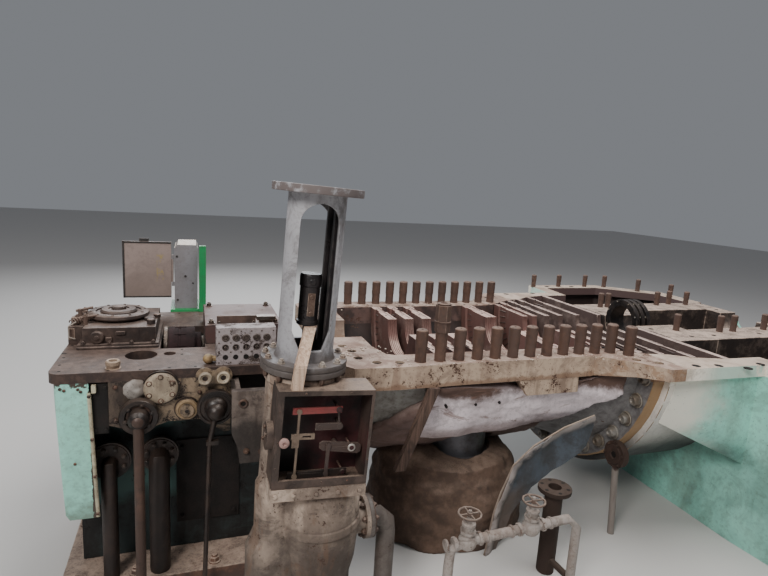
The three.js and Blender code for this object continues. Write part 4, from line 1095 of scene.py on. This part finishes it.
worn_paint("scaled_cream_flange", (180, 158, 138), (74, 50, 40), (128, 106, 92), 0.85, 0.6, 0.75, 1.0,
           flange_wear)

near_flange = eased(trimmed("casing_near_flange", joint_height + 0.0003), 0.005, 2, 50)
finished("near_joint_flange", "scaled_cream_flange", "dusty_iron", near_flange,
         stands_for=("casing_near_flange",))
far_flange = eased(trimmed("casing_far_flange", joint_height + 0.0003), 0.005, 2, 50)
finished("far_joint_flange", "scaled_cream_flange", "dusty_iron", far_flange,
         stands_for=("casing_far_flange",))
hole_places = [(0.936, -0.402), (0.968, -0.508), (0.966, -0.641), (1.048, -0.733), (1.177, -0.753),
               (2.676, -0.925), (2.777, -1.004)]
# Painted shade in the flange's holes.
finished(
    "flange_holes", "hole_shade_and_dark_iron", "dusty_iron", *on_joint(peg(-0.03, -0.012, 0.0275, 20, 0), hole_places),
    *on_joint(peg(-0.004, 0.0008, 0.027, 20, 0), [(x, -y) for x, y in hole_places]),
    *on_joint(peg(-0.004, 0.0007, 0.011, 12, 0),
              [(1.34 + 0.12 * i, side * 0.655) for i in range(12) for side in (-1, 1)]),
)

# The plaster crumbs: pale bits of broken lagging that lie loose on the joint faces, three in
# four of them on the near side, and the largest at the casing's nose.

crumb_count = 260
far_every = 4
nose_end = 1.25
face_width = 0.18
uniform = Random(4).uniform
crumb = blank()
bmesh.ops.create_icosphere(crumb, subdivisions=1, radius=1.0)
crumb_places = []
for i in range(crumb_count):
    x, across = uniform(0.9, 2.9), uniform(0.0, 1.0)
    side = 1 if i % far_every == 0 else -1
    inner = 0.44 if x < 1.2 else 0.66 if x < 2.4 else 0.72
    y = side * (inner + across * face_width)
    size = uniform(0.0015, 0.0055) * (1.5 if x < nose_end else 1.0)
    crumb_places.append(Matrix.Translation((x, y, joint_height + size * 0.35))
                        @ Matrix.Rotation(uniform(0, pi), 4, "Z")
                        @ Matrix.Diagonal((size * 1.4, size, size * 0.8, 1)))
aged_iron("plaster_crumbs", (200, 184, 170), (150, 128, 114), (214, 200, 186), 0.5, 0.9, 3.0, 0.0)
finished("plaster_crumbs", "plaster_crumbs", "dusty_iron", *copies(crumb, crumb_places))

# The joint studs: turned steel studs 71 mm thick, threaded at the top, that stand in the joint
# flanges, brown with rust. A hexagon socket wrench is left on the second.

aged_iron("rusty_stud", (86, 67, 59), (92, 66, 54), (136, 116, 104), 0.5, 0.75, 2.5, 0.1)
stud_tall = 0.187


def stud(radius, tall, thread):
    """A stud on the joint, with its thread's ridges at the top and a lifting hole in its end."""
    pitch = 0.008
    profile = [(0.0, tall - 0.012), (0.006, tall - 0.012), (0.006, tall), (radius - 0.009, tall),
               (radius - 0.002, tall - 0.006)]
    for turn in range(int(thread / pitch)):
        low = tall - 0.010 - turn * pitch
        profile += [(radius, low), (radius - 0.0016, low - pitch / 2)]
    profile += [(radius - 0.003, tall - thread - 0.016), (radius - 0.003, 0.004), (radius - 0.001, 0.0),
                (radius - 0.001, -0.003), (0.0, -0.003)]
    return spun(profile, Matrix(), 22)


near_studs = [(1.300 + 0.12 * i, -0.752) for i in range(11)] + [(2.615, -0.760), (2.700, -0.830)]
far_studs = [(1.284 + 0.12 * i, 0.752) for i in range(12)]
for name, places in (("near_joint_studs", near_studs), ("far_joint_studs", far_studs)):
    finished(name, "rusty_stud", "dusty_iron", *on_joint(stud(0.0355, stud_tall, 0.10), places),
             crease=50)
socket = aimed((1.42, -0.752, joint_height))
finished(
    "socket_wrench", "rusty_stud", "dusty_iron", moved(peg(0.17, 0.326, 0.047, 6, 0.003), socket),
    spun([(0.02, 0.326), (0.034, 0.326), (0.04, 0.331), (0.04, 0.334), (0.02, 0.3365), (0.012, 0.32)],
         socket, 24),
    spun([(0.044, 0.225), (0.0475, 0.227), (0.0475, 0.233), (0.044, 0.235)], socket, 24),
)

# The lower casing shell: a half cylinder cast in iron, grey green outside at its nose, bare steel
# grey at its cone and rusty brown inside, with the ring that the exhaust drum is bolted to.


def shell_wear(f):
    outward = f.face[1] * f.at[1] + f.face[2] * (f.at[2] - joint_height)
    inner = f.between(0 - outward, 0.02, 0.06) * (1 - f.between(f.at[0], 2.776, 2.779))
    rust = f.blend(f.patches(0.4, 0.62, 6.0, 5.0, 0.65, (1, 1, 0.4)), (54, 41, 38), (30, 23, 22))
    cone = f.between(f.at[0], 2.25, 2.32)
    steel = f.blend(f.patches(0.4, 0.66, 14.0, 7.0, 0.75, twist=0.6), (124, 122, 122), (92, 88, 88))
    f.coat(cone, steel)
    radius = (f.at[1] * f.at[1] + (f.at[2] - joint_height) ** 2.0) ** 0.5
    rim = f.between(radius + f.clouds(8.0) * 0.02, 0.998, 1.006) * cone
    f.coat(rim * 0.8, (160, 126, 84))
    f.coat(inner, rust)


worn_paint("casing_grey_green", (154, 154, 150), (84, 62, 50), (108, 96, 86), 0.5, 0.5, 0.6, 0.8,
           shell_wear)
softened("casing_shell", "casing_grey_green", 0.004, 1)
ring_x = 2.78
nut_circle = 0.928
ring_nut = joined(spun([(0.0, 0.036), (0.012, 0.038), (0.018, 0.047), (0.026, 0.046), (0.034, 0.034),
                        (0.037, 0.0), (0.0, 0.0)]), peg(0.0, 0.014, 0.049, 18, 0.003))
nut_angles = [radians(8.0 + 10.25 * i) for i in range(17)]
ring_places = [aimed((ring_x, -nut_circle * cos(angle), joint_height - nut_circle * sin(angle)),
                     (-1, 0, 0)) for angle in nut_angles]
aged_iron("ring_nuts", (148, 144, 138), (104, 92, 80), (176, 166, 150), 0.4, 0.5, 2.0, 0.5)
finished("ring_nuts", "ring_nuts", "rusty_iron", *copies(ring_nut, ring_places))

# The diaphragms: half rings of cast iron in red primer that stand in the casing's grooves. Each
# has a ring of guide vanes, seal strips at its bore, and its ground split faces at the joint.

aged_iron("diaphragm_primer", (118, 84, 77), (98, 68, 62), (196, 170, 158), 1.0, 0.7, 1.0, 0.1)
aged_iron("diaphragm_oily", (92, 74, 70), (76, 58, 52), (190, 168, 158), 1.0, 0.65, 1.0, 0.1)
aged_iron("vane_steel", (96, 84, 80), (90, 66, 58), (150, 134, 124), 0.4, 0.5, 2.0, 0.5)


def half_ring(profile, sides=36):
    """Turns a closed profile of (x, radius) points half round under the joint."""
    part = blank()
    rim = [part.verts.new((x, -radius, joint_height)) for x, radius in profile]
    lines = [part.edges.new(pair) for pair in zip(rim, rim[1:] + rim[:1])]
    bmesh.ops.spin(part, geom=rim + lines, cent=(0, 0, joint_height), axis=(1, 0, 0), angle=pi,
                   steps=sides)
    bmesh.ops.holes_fill(part, edges=[e for e in part.edges if e.is_boundary], sides=0)
    bmesh.ops.recalc_face_normals(part, faces=part.faces)
    return part


for number in range(1, 10):
    node = f"diaphragm_{number}"
    low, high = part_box(node)
    x0, x1, outer = low[0], high[0], (high[1] - low[1]) / 2
    thick, bore = x1 - x0, 0.205
    inner_vane, outer_vane = outer * 0.72, outer * 0.86
    dish = min(0.014, thick * 0.25)
    profile = [
        (x0, bore + 0.004), (x0, inner_vane - 0.01), (x0 + dish, inner_vane), (x0 + dish, outer_vane),
        (x0, outer_vane + 0.01), (x0, outer - 0.006), (x0 + 0.006, outer), (x1 - 0.006, outer),
        (x1, outer - 0.006), (x1, outer_vane + 0.01), (x1 - dish, outer_vane), (x1 - dish, inner_vane),
        (x1, inner_vane - 0.01), (x1, bore + 0.004),
    ]
    seal_gap = thick / 5
    for strip in range(5):
        edge = x1 - (strip + 0.5) * seal_gap
        profile += [(edge + 0.002, bore + 0.004), (edge, bore), (edge - 0.002, bore + 0.004)]
    turned_iron = "diaphragm_primer" if number < 7 else "diaphragm_oily"
    finished(f"{node}_turned", turned_iron, slot_of[node], half_ring(profile), stands_for=(node,))
    vane = bar((x0 + 0.001, -outer_vane + 0.001, -0.0035), (x1 - 0.001, -inner_vane - 0.001, 0.0035),
               0.001, 1)
    bmesh.ops.rotate(vane, cent=((x0 + x1) / 2, -(inner_vane + outer_vane) / 2, 0),
                     matrix=Matrix.Rotation(radians(28), 3, "Y"), verts=vane.verts)
    bmesh.ops.scale(vane, vec=(0.86, 1, 1), space=Matrix.Translation((-(x0 + x1) / 2, 0, 0)),
                    verts=vane.verts)
    count = int(pi * outer_vane / 0.052)
    turns = [Matrix.Translation((0, 0, joint_height)) @ Matrix.Rotation((i + 0.5) * pi / count, 4, "X")
             for i in range(count)]
    finished(f"{node}_vanes", "vane_steel", slot_of[node], *copies(vane, turns))
    seam_at = x0 + thick * 0.66
    keys = []
    for side in (-1, 1):
        ends = sorted((side * (bore + 0.02), side * (outer - 0.012)))
        keys.append(bar((seam_at, ends[0], joint_height - 0.003),
                        (seam_at + 0.005, ends[1], joint_height + 0.0006), 0))
        for share in (0.3, 0.82):
            at = side * (bore + (outer - bore) * share)
            keys.append(post(x0 + thick * 0.36, at, joint_height - 0.004, joint_height + 0.0006,
                             min(0.009, thick * 0.16), 12, 0))
    finished(f"{node}_seams", "hole_shade_and_dark_iron", slot_of[node], *keys)

# The exhaust drum: a wide half cylinder of plate behind the casing's ring, in pale grey paint
# that painted shade darkens towards its belly, and the end wall inside it.


def shaded_belly(f):
    outward = f.face[1] * f.at[1] + f.face[2] * (f.at[2] - joint_height)
    inner = f.between(0 - outward, 0.02, 0.06)
    depth = joint_height - f.at[2] + (f.clouds(2.5, 5.0, 0.6, (1, 1, 0.6)) - 0.5) * 0.22
    # Painted shade: the belly darkens to near black, with a bluish band of painted half shade above it.
    low = f.between(depth, 0.32, 0.74)
    f.coat(low * 0.95, (34, 38, 43))
    blue_half_shade = f.between(depth, 0.16, 0.42) * (1 - low)
    f.coat(blue_half_shade * 0.4, (116, 128, 136))
    rust = f.blend(f.patches(0.4, 0.6, 6.0, 4.0), (88, 68, 62), (60, 46, 42))
    f.coat(inner, rust)


worn_paint("speckled_drum_grey", (238, 230, 220), (120, 100, 84), (196, 184, 174), 0.22, 0.35, 0.6, 1.3,
           shaded_belly)
softened("exhaust_drum", "speckled_drum_grey", 0.003, 1)
aged_iron("rusty_yellow_ring", (164, 132, 92), (112, 84, 62), (190, 170, 144), 0.6, 0.7)
finished("drum_edge_ring", "rusty_yellow_ring", "pale_paint",
         half_ring([(2.8605, 0.905), (2.8605, 1.0395), (2.8665, 1.0395), (2.8665, 0.905)], 48))
softened("exhaust_end_wall", "diaphragm_oily", 0.003, 1)

# The exhaust hood: a wide box of welded plate that spreads from the drum and stands on the
# ground, in sea green paint that has cracked along its seams.


def pale_by_drum(f):
    pale = 1 - f.ragged(f.at[0], 3.0, 3.35, 0.9, 2.2, 5.0, 0.6)
    f.coat(pale * 0.9, (234, 228, 216))
    cracks = 1 - f.between(
        f.node("ShaderNodeTexVoronoi", {"feature": "DISTANCE_TO_EDGE"},
               {"Vector": f.place, "Scale": 1.3, "Randomness": 1.0}, "Distance") + f.clouds(20.0) * 0.02,
        0.012, 0.014,
    )
    f.coat(cracks * f.patches(0.58, 0.62, 2.0) * 0.8, (52, 62, 58))
    # Painted shade: the wall beside the drum darkens towards its foot, as under the drum's belly.
    ragged = (f.clouds(2.6, 6.0, 0.65) - 0.5) * 0.5
    beside = 1 - f.between(f.at[0] + ragged, 3.25, 3.62)
    drum_side_shade = beside * (1 - f.between(f.at[2] + ragged * 0.6, 0.5, 0.86))
    f.coat(drum_side_shade * 0.9, (44, 52, 54))
    outward = f.face[0] * (f.at[0] - 4.1) + f.face[1] * f.at[1]
    inner = f.between(0 - outward, 0.1, 0.2) * f.between(f.at[0], 3.5, 3.52)
    f.coat(inner, (64, 52, 50))


worn_paint("sea_green_hood", sea_green, (70, 66, 58), (132, 154, 140), 0.35, 0.4, 0.5, 0.8, pale_by_drum)
softened("exhaust_hood", "sea_green_hood", 0.005, 1)
worn_paint("hood_weld_seams", (134, 176, 160), (96, 84, 70), (150, 140, 120), 0.7, 0.6, 0.6, 2.0)
seam_height = 0.60
hood_side = 1.522
flat_seams = [
    (3.53, -hood_side, 4.39, -hood_side), (3.53, hood_side, 4.39, hood_side),
    (4.39, -hood_side, 4.92, -1.092), (4.39, hood_side, 4.92, 1.092), (4.922, -1.09, 4.922, 1.09),
]
upright_seams = [(3.50, -1.1235, 0.56, 0.006), (3.53, -hood_side, 0.0, 0.007),
                 (4.39, -hood_side, 0.0, 0.007)]
finished(
    "hood_seams", "hood_weld_seams", "mint_paint",
    *[post(x, y, 1.172, foot, radius, 8, 0) for x, y, foot, radius in upright_seams],
    *[rod((x0, y0, seam_height), (x1, y1, seam_height), 0.006, 8, 0) for x0, y0, x1, y1 in flat_seams],
    *[bar((x, side * 1.5195 - 0.02, 0.0), (x + 0.016, side * 1.5195 + 0.02, 1.17), 0.002)
      for x in (3.82, 4.12) for side in (-1, 1)],
)


def hood_edge_flakes(f):
    mint = f.patches(0.44, 0.5, 4.0, 6.0, 0.7, (1, 1, 0.4)) * (1 - f.between(f.face[2], 0.5, 0.8))
    f.coat(mint * f.between(f.at[0], 2.95, 3.15) * 0.9, (190, 216, 202))
    joint = f.blend(f.patches(0.42, 0.62, 5.0, 6.0, 0.7, twist=0.5), (182, 164, 150), (132, 108, 96))
    f.coat(f.between(f.face[2], 0.6, 0.9) * 0.85, joint)
    side = 1 - f.between(f.face[2], 0.5, 0.8)
    outward = f.face[0] * (f.at[0] - 4.1) + f.face[1] * f.at[1]
    f.coat(side * f.between(0 - outward, 0.1, 0.2), (84, 65, 63))


worn_paint("flaked_hood_flange", (238, 230, 216), (98, 68, 52), (170, 150, 132), 0.6, 0.4, 0.7, 1.0,
           hood_edge_flakes)
for node in ("hood_near_flange", "hood_far_flange"):
    softened(node, "flaked_hood_flange", 0.004, 1, 50)
hood_studs = [(3.546, 1.47), (3.865, 1.47), (4.21, 1.47), (4.45, 1.44), (4.70, 1.20), (4.85, 0.90)]
saddle_studs = [(3.627, -0.33), (3.984, -0.41), (4.126, -0.41), (4.478, -0.40), (3.594, 0.484),
                (3.668, 0.48), (4.29, 0.526), (4.474, 0.56), (4.65, 0.52)]
finished("hood_studs", "rusty_stud", "dusty_iron",
         *on_joint(stud(0.026, 0.13, 0.06), hood_studs + saddle_studs), crease=50)
hood_holes = [
    (3.30, -1.18), (3.47, -1.13), (3.62, -1.46), (3.82, -1.47), (4.02, -1.47), (4.22, -1.47),
    (4.42, -1.42), (4.62, -1.26), (4.80, -1.06), (2.98, -1.09), (3.14, -1.11), (3.30, 1.12), (2.98, 1.09),
    (3.72, 1.47), (4.04, 1.47),
]
# Painted shade in the hood flange's holes.
finished("hood_flange_holes", "hole_shade_and_dark_iron", "dusty_iron",
         *on_joint(peg(-0.004, 0.0008, 0.026, 18, 0), hood_holes))

# The gland saddle and the rear bearing housing: two heavy iron castings on the turbine's axis
# inside the hood, with the black gland rings standing in their bore.

aged_iron("dusty_saddle", (46, 38, 36), (54, 42, 37), (186, 166, 152), 1.0, 0.75)
for node in ("gland_saddle", "rear_bearing_housing"):
    softened(node, "dusty_saddle", 0.005, 2)
saddle_holes = [(3.44, -0.27), (3.44, 0.3), (3.6, -0.5), (3.82, -0.5), (4.3, -0.5), (4.6, -0.5),
                (3.86, 0.5), (4.1, 0.5), (4.8, -0.3), (4.8, 0.3)]
# Painted shade in the saddle's holes.
finished("saddle_holes", "hole_shade_and_dark_iron", "dusty_iron",
         *on_joint(peg(-0.004, 0.0007, 0.018, 14, 0), saddle_holes))
aged_iron("gland_black", (34, 32, 33), (62, 54, 50), (96, 88, 84), 0.3, 0.4, 2.0, 0.5)
softened("gland_rings", "gland_black", 0.003, 2)
gland_bolts = []
for x in (3.39, 3.443, 3.496):
    for step in range(8):
        angle = step * pi / 4 + pi / 8
        gland_bolts.append(rod((x - 0.006, 0.158 * cos(angle), joint_height + 0.158 * sin(angle)),
                               (x + 0.001, 0.158 * cos(angle), joint_height + 0.158 * sin(angle)), 0.006,
                               8, 0.001))
finished("gland_bolts", "ring_nuts", "oily_iron", *gland_bolts)

# The lagging left under the casing: a thick lilac grey blanket of mineral wool set in plaster on
# the near side, and brown crumbling lagging round the belly and the extraction pipe.


def lumpy(part, voxel, lumps, folds=(1, 1, 1)):
    """The part as a soft mass: its corners melt together, and its skin swells and sinks."""
    rough = bpy.data.meshes.new("rough")
    part.to_mesh(rough)
    part.free()
    holder = bpy.data.objects.new("rough", rough)
    scene.collection.objects.link(holder)
    remesh = holder.modifiers.new("melt", "REMESH")
    remesh.mode = "VOXEL"
    remesh.voxel_size = voxel
    melted = bpy.data.meshes.new_from_object(holder.evaluated_get(bpy.context.evaluated_depsgraph_get()))
    bpy.data.objects.remove(holder)
    bpy.data.meshes.remove(rough)
    soft = blank()
    soft.from_mesh(melted)
    bpy.data.meshes.remove(melted)
    for _ in range(2):
        bmesh.ops.smooth_vert(soft, verts=soft.verts, factor=0.5, use_axis_x=True, use_axis_y=True,
                              use_axis_z=True)
    soft.normal_update()
    stretch = Vector(folds)
    shifts = []
    for vert in soft.verts:
        at = vert.co * stretch
        swell = sum(depth * noise.noise(at / size + Vector((size * 90, 3.7, 1.3)))
                    for size, depth in lumps)
        shifts.append(vert.normal * swell)
    for vert, shift in zip(soft.verts, shifts):
        vert.co += shift
        vert.co.z = max(vert.co.z, 0.0)
    return soft


def blanket_skin(f):
    top = f.ragged(f.at[2], 0.99, 1.08, 0.3, 4.0, 6.0, 0.7)
    f.coat(top, (88, 68, 60))
    brown = f.patches(0.56, 0.66, 6.0, 6.0, 0.75, (0.5, 1.0, 1.6), 1.2)
    f.coat(brown * 0.7, (120, 92, 80))
    edge = 1 - f.between(f.at[2] + f.clouds(9.0) * 0.08, 0.81, 0.88)
    f.coat(edge * 0.5, (140, 118, 112))


worn_paint("lilac_blanket", (226, 214, 218), (120, 96, 88), (172, 158, 160), 0.22, 0.4, 0.9, 1.4,
           blanket_skin)


def arc_mat(x0, x1, radii, angles, steps=10):
    """A curved mat on the near side, from one radius pair at x0 to another at x1."""
    part = blank()
    (inner0, outer0), (inner1, outer1) = radii
    (top0, foot0), (top1, foot1) = angles
    rings = []
    for x, inner, outer, top, foot in ((x0, inner0, outer0, top0, foot0),
                                       (x1, inner1, outer1, top1, foot1)):
        sweep = [radians(top + (foot - top) * i / steps) for i in range(steps + 1)]
        points = [(outer, angle) for angle in sweep] + [(inner, angle) for angle in reversed(sweep)]
        rim = [part.verts.new((x, -radius * cos(angle), joint_height - radius * sin(angle)))
               for radius, angle in points]
        rings.append([part.edges.new(pair) for pair in zip(rim, rim[1:] + rim[:1])])
    bmesh.ops.bridge_loops(part, edges=rings[0] + rings[1])
    bmesh.ops.holes_fill(part, edges=[e for e in part.edges if e.is_boundary], sides=0)
    bmesh.ops.recalc_face_normals(part, faces=part.faces)
    return part


finished(
    "blanket_mass", "lilac_blanket", "lagging",
    lumpy(joined(arc_mat(1.362, 1.60, ((0.742, 0.826), (0.742, 0.836)), ((10.5, 37), (10.5, 38))),
                 arc_mat(1.598, 1.95, ((0.742, 0.836), (0.742, 0.838)), ((10.5, 38), (12, 38))),
                 arc_mat(1.948, 2.25, ((0.742, 0.838), (0.742, 0.828)), ((13, 38), (15, 36))),
                 arc_mat(2.248, 2.48, ((0.742, 0.828), (0.768, 0.84)), ((13, 36), (9, 28))),
                 arc_mat(2.478, 2.68, ((0.768, 0.84), (0.85, 0.90)), ((9, 28), (6, 16)))), 0.011,
          ((0.42, 0.04), (0.15, 0.018), (0.06, 0.006), (0.02, 0.0015)), (0.5, 1.0, 1.6)),
    stands_for=("lagging_blanket",), crease=180,
)
pin_slope = radians(19)
pin_out = Vector((0, -cos(pin_slope), -sin(pin_slope)))
pin_line = Vector((0, 0, joint_height)) + 0.838 * pin_out
finished(
    "blanket_pins", "hole_shade_and_dark_iron", "lagging",
    *copies(peg(-0.02, 0.0, 0.0085, 10, 0),
            [aimed(pin_line + Vector((x, 0, 0)), pin_out) for x in (1.47, 1.66, 1.82)]),
)
aged_iron("brown_wool", (74, 59, 50), (92, 72, 60), (136, 116, 102), 0.6, 0.95, 1.5, 0.0)
# The belly's wool is a lighter, more lilac copy of the brown wool: partly its own tone, partly painted
# light that lifts it out of the shade under the casing.
aged_iron("belly_wool_painted_light", (122, 102, 97), (98, 77, 69), (168, 150, 142), 0.6, 0.95, 1.5, 0.0)
finished(
    "belly_mass", "belly_wool_painted_light", "brown_lagging",
    lumpy(cleaned("belly_lagging"), 0.014, ((0.3, 0.03), (0.1, 0.014), (0.035, 0.005)), (0.5, 1, 1.8)),
    stands_for=("belly_lagging",), crease=180,
)
finished(
    "pipe_mass", "brown_wool", "brown_lagging",
    lumpy(cleaned("pipe_lagging"), 0.014, ((0.4, 0.05), (0.13, 0.022), (0.045, 0.006)), (0.8, 0.8, 1.5)),
    stands_for=("pipe_lagging",), crease=180,
)

# The board and the sheet: a rough board wedged under the flange at the blanket's end, and a long
# sheet of bluish cladding that has slipped down beside the casing, its edge rolled over.

timber_finish("dusty_board", (104, 82, 71), (62, 47, 40))
softened("lagging_board", "dusty_board", 0.004, 2)


def dusty_sheet(f):
    seam = f.at[2] + (f.clouds(5.0) - 0.5) * 0.12
    low = (1 - f.between(seam, 0.36, 0.46)) * (1 - f.between(f.at[0], 1.94, 2.12))
    f.coat(low * 0.75, (92, 76, 65))
    band = f.node("ShaderNodeAttribute", {"attribute_name": "rolled"}, output="Fac")
    f.coat(band * f.patches(0.3, 0.5, 14.0, 4.0), (156, 146, 142))


worn_paint("bluish_cladding", (66, 74, 84), (42, 39, 38), (62, 60, 60), 0.3, 0.7, 0.6, 1.2, dusty_sheet)
sheet_edge = [(1.790, 0.0), (1.825, 0.278), (1.860, 0.409), (1.931, 0.587), (2.061, 0.700),
              (2.269, 0.800), (2.490, 0.862)]
sheet_back = [(2.527, 0.777), (2.485, 0.642), (2.308, 0.523), (2.100, 0.397), (1.974, 0.221),
              (1.890, 0.0)]
sheet = blank()
rolled = sheet.verts.layers.float.new("rolled")
outline = [sheet.verts.new((x, -0.8215, z)) for x, z in sheet_edge + sheet_back]
sheet.faces.new(outline)
bmesh.ops.triangulate(sheet, faces=sheet.faces, quad_method="BEAUTY", ngon_method="BEAUTY")
for _ in range(5):
    long_edges = [e for e in sheet.edges if e.calc_length() > 0.022]
    bmesh.ops.subdivide_edges(sheet, edges=long_edges, cuts=1, use_grid_fill=False)
    bmesh.ops.triangulate(sheet, faces=sheet.faces, quad_method="BEAUTY", ngon_method="BEAUTY")
edge_line = [Vector((x, 0, z)) for x, z in sheet_edge]


def edge_distance(at):
    flat = Vector((at.x, 0, at.z))
    best = 10.0
    for start, end in zip(edge_line, edge_line[1:]):
        along = end - start
        share = max(0.0, min(1.0, (flat - start).dot(along) / along.length_squared))
        best = min(best, (flat - start.lerp(end, share)).length)
    return best


for vert in sheet.verts:
    away = edge_distance(vert.co)
    near_edge = max(0.0, 1.0 - away / 0.075)
    vert[rolled] = min(1.0, near_edge * 1.6)
    vert.co.y += 0.02 * noise.noise(vert.co * 6.0) + 0.007 * noise.noise(vert.co * 17.0)
    vert.co.y -= 0.03 * sin(near_edge * pi / 2) - 0.012 * min(1.0, away / 0.2)
bmesh.ops.recalc_face_normals(sheet, faces=sheet.faces)
bmesh.ops.solidify(sheet, geom=sheet.faces[:], thickness=0.004)
finished("slipped_cladding", "bluish_cladding", "grey_paint", sheet, stands_for=("lagging_sheet",),
         crease=60)
aged_iron("dusty_rolled_edge", (150, 136, 124), (122, 104, 92), (190, 172, 152), 0.6, 0.8)
finished(
    "cladding_edge_roll", "dusty_rolled_edge", "grey_paint",
    *[rod((x0, -0.842, z0), (x1, -0.842, z1), 0.006, 10, 0)
      for (x0, z0), (x1, z1) in zip(sheet_edge, sheet_edge[1:])],
)

# The extraction bellows: a ribbed steel expansion joint that comes out of the lagging under the
# casing, grey under its soot.

aged_iron("sooty_bellows", (112, 112, 117), (84, 79, 78), (146, 142, 140), 0.35, 0.4, 1.5, 0.6)
softened("extraction_bellows", "sooty_bellows", 0.005, 2)

# The drain line: a steel pipe with two globe valves that runs past the casing's foot, grey with
# lime and dust. Each valve has a small cast handwheel that turns on its stem.

worn_paint("limed_pipe_grey", (150, 142, 136), (94, 72, 60), (120, 104, 94), 0.6, 0.7, 0.75, 2.0)
softened("drain_header", "limed_pipe_grey", 0.003, 2)
drain_y = -1.25
valve_places = [(1.417, 0.443), (1.797, 0.462)]
valve_parts = []
for x, z in valve_places:
    along = Vector((1, 0, 0.0487)).normalized()
    middle = Vector((x, drain_y, z))
    for side in (-1, 1):
        neck = middle + along * side * 0.062
        valve_parts.append(rod(neck, neck + along * side * 0.02, 0.036, 8, 0.003))
        for ring_side in (-1, 1):
            valve_parts.append(rod(middle + along * side * 0.12 - along * 0.006 * ring_side,
                                   middle + along * side * 0.12, 0.033, 18, 0.002))
    valve_parts.append(spun([(0.024, 0.088), (0.036, 0.092), (0.036, 0.104), (0.022, 0.11), (0.014, 0.13),
                             (0.014, 0.138), (0.009, 0.14), (0.009, 0.088)],
                            Matrix.Translation((x, drain_y, z))))
    valve_parts += copies(bolt_end(0.0075),
                          ring_of(4, 0.033, Matrix.Translation((x, drain_y, z + 0.064)), pi / 4))
finished("drain_valve_necks", "limed_pipe_grey", "grey_paint", *valve_parts)
aged_iron("dusty_handwheel", (98, 84, 76), (92, 70, 60), (164, 150, 138), 0.5, 0.8, 2.5, 0.1)
for number, (x, z) in enumerate(valve_places, 1):
    wheel_place = Matrix.Translation((x, drain_y, z + 0.148))
    rim = blank()
    section = bmesh.ops.create_circle(
        rim, cap_ends=False, segments=10, radius=0.0062,
        matrix=Matrix.Translation((0.0565, 0, 0.006)) @ Matrix.Rotation(pi / 2, 4, "X"),
    )["verts"]
    bmesh.ops.spin(rim, geom=section + rim.edges[:], cent=(0, 0, 0), axis=(0, 0, 1), angle=2 * pi,
                   steps=40, use_merge=True)
    bmesh.ops.remove_doubles(rim, verts=rim.verts, dist=0.000001)
    bmesh.ops.recalc_face_normals(rim, faces=rim.faces)
    for vert in rim.verts:
        turn = Vector((vert.co.x, vert.co.y)).angle_signed(Vector((1, 0)), 0.0)
        grip = 0.0018 * abs(sin(turn * 5))
        outward = Vector((vert.co.x, vert.co.y, 0)).normalized()
        vert.co += outward * grip
    spokes = copies(
        joined(rod((0.013, 0, 0.006), (0.034, 0, 0.0055), 0.006, 10, 0, 0.0048),
               rod((0.033, 0, 0.0055), (0.054, 0, 0.006), 0.0048, 10, 0, 0.0055)),
        [Matrix.Rotation(i * pi / 2, 4, "Z") for i in range(4)],
    )
    hub_part = spun([(0.0098, -0.004), (0.0155, -0.004), (0.0165, 0.0), (0.0165, 0.012), (0.0145, 0.016),
                     (0.0098, 0.016)])
    finished(f"handwheel_{number}_cast", "dusty_handwheel", "rusty_iron", rim, *spokes, hub_part,
             place=wheel_place, body=f"handwheel_{number}", stands_for=(f"handwheel_{number}",))
    finished(f"stem_nut_{number}", "flange_nuts", "grey_paint", peg(0.0165, 0.0245, 0.0078, 6, 0.001),
             place=wheel_place)

# The open flange and the strut: a rusty steel stub whose pipe has been taken off, and a jack
# strut under the casing's ring, bolted through a round eye.

aged_iron("open_flange_rust", (62, 50, 43), (56, 42, 36), (88, 75, 66), 0.5, 0.85, 1.5)
softened("open_flange_stub", "open_flange_rust", 0.003, 2)
stub_top = Matrix.Translation((2.085, -1.05, 0.545))
# Painted shade in the open flange's holes.
finished(
    "open_flange_holes", "hole_shade_and_dark_iron", "rusty_iron",
    *copies(peg(-0.006, 0.0008, 0.0105, 14, 0), ring_of(6, 0.075, stub_top, 0.3)),
    *copies(peg(-0.026, -0.0245, 0.0105, 14, 0), ring_of(6, 0.075, stub_top, 0.3)),
)


def limed_rod(f):
    low = 1 - f.ragged(f.at[2], 0.44, 0.46, 0.06, 20.0, 5.0)
    f.coat(low * 0.85, (140, 132, 126))


aged_iron("strut_brown", (62, 47, 41), (76, 56, 47), (100, 86, 76), 0.4, 0.8, 1.5, region=limed_rod)
softened("support_strut", "strut_brown", 0.003, 2)
eye_face = aimed((2.735, -0.796, 0.547), (-1, 0, 0))
finished(
    "strut_eye_ring", "strut_brown", "rusty_iron",
    spun([(0.024, 0.0), (0.03, 0.006), (0.06, 0.007), (0.066, 0.0)], eye_face, 32),
    *copies(bolt_end(0.0095), ring_of(6, 0.076, eye_face, 0.2)),
)
# Painted shade in the strut's eye.
finished("strut_eye_hole", "hole_shade_and_dark_iron", "rusty_iron",
         rod((2.734, -0.796, 0.547), (2.7335, -0.796, 0.547), 0.02, 18, 0))
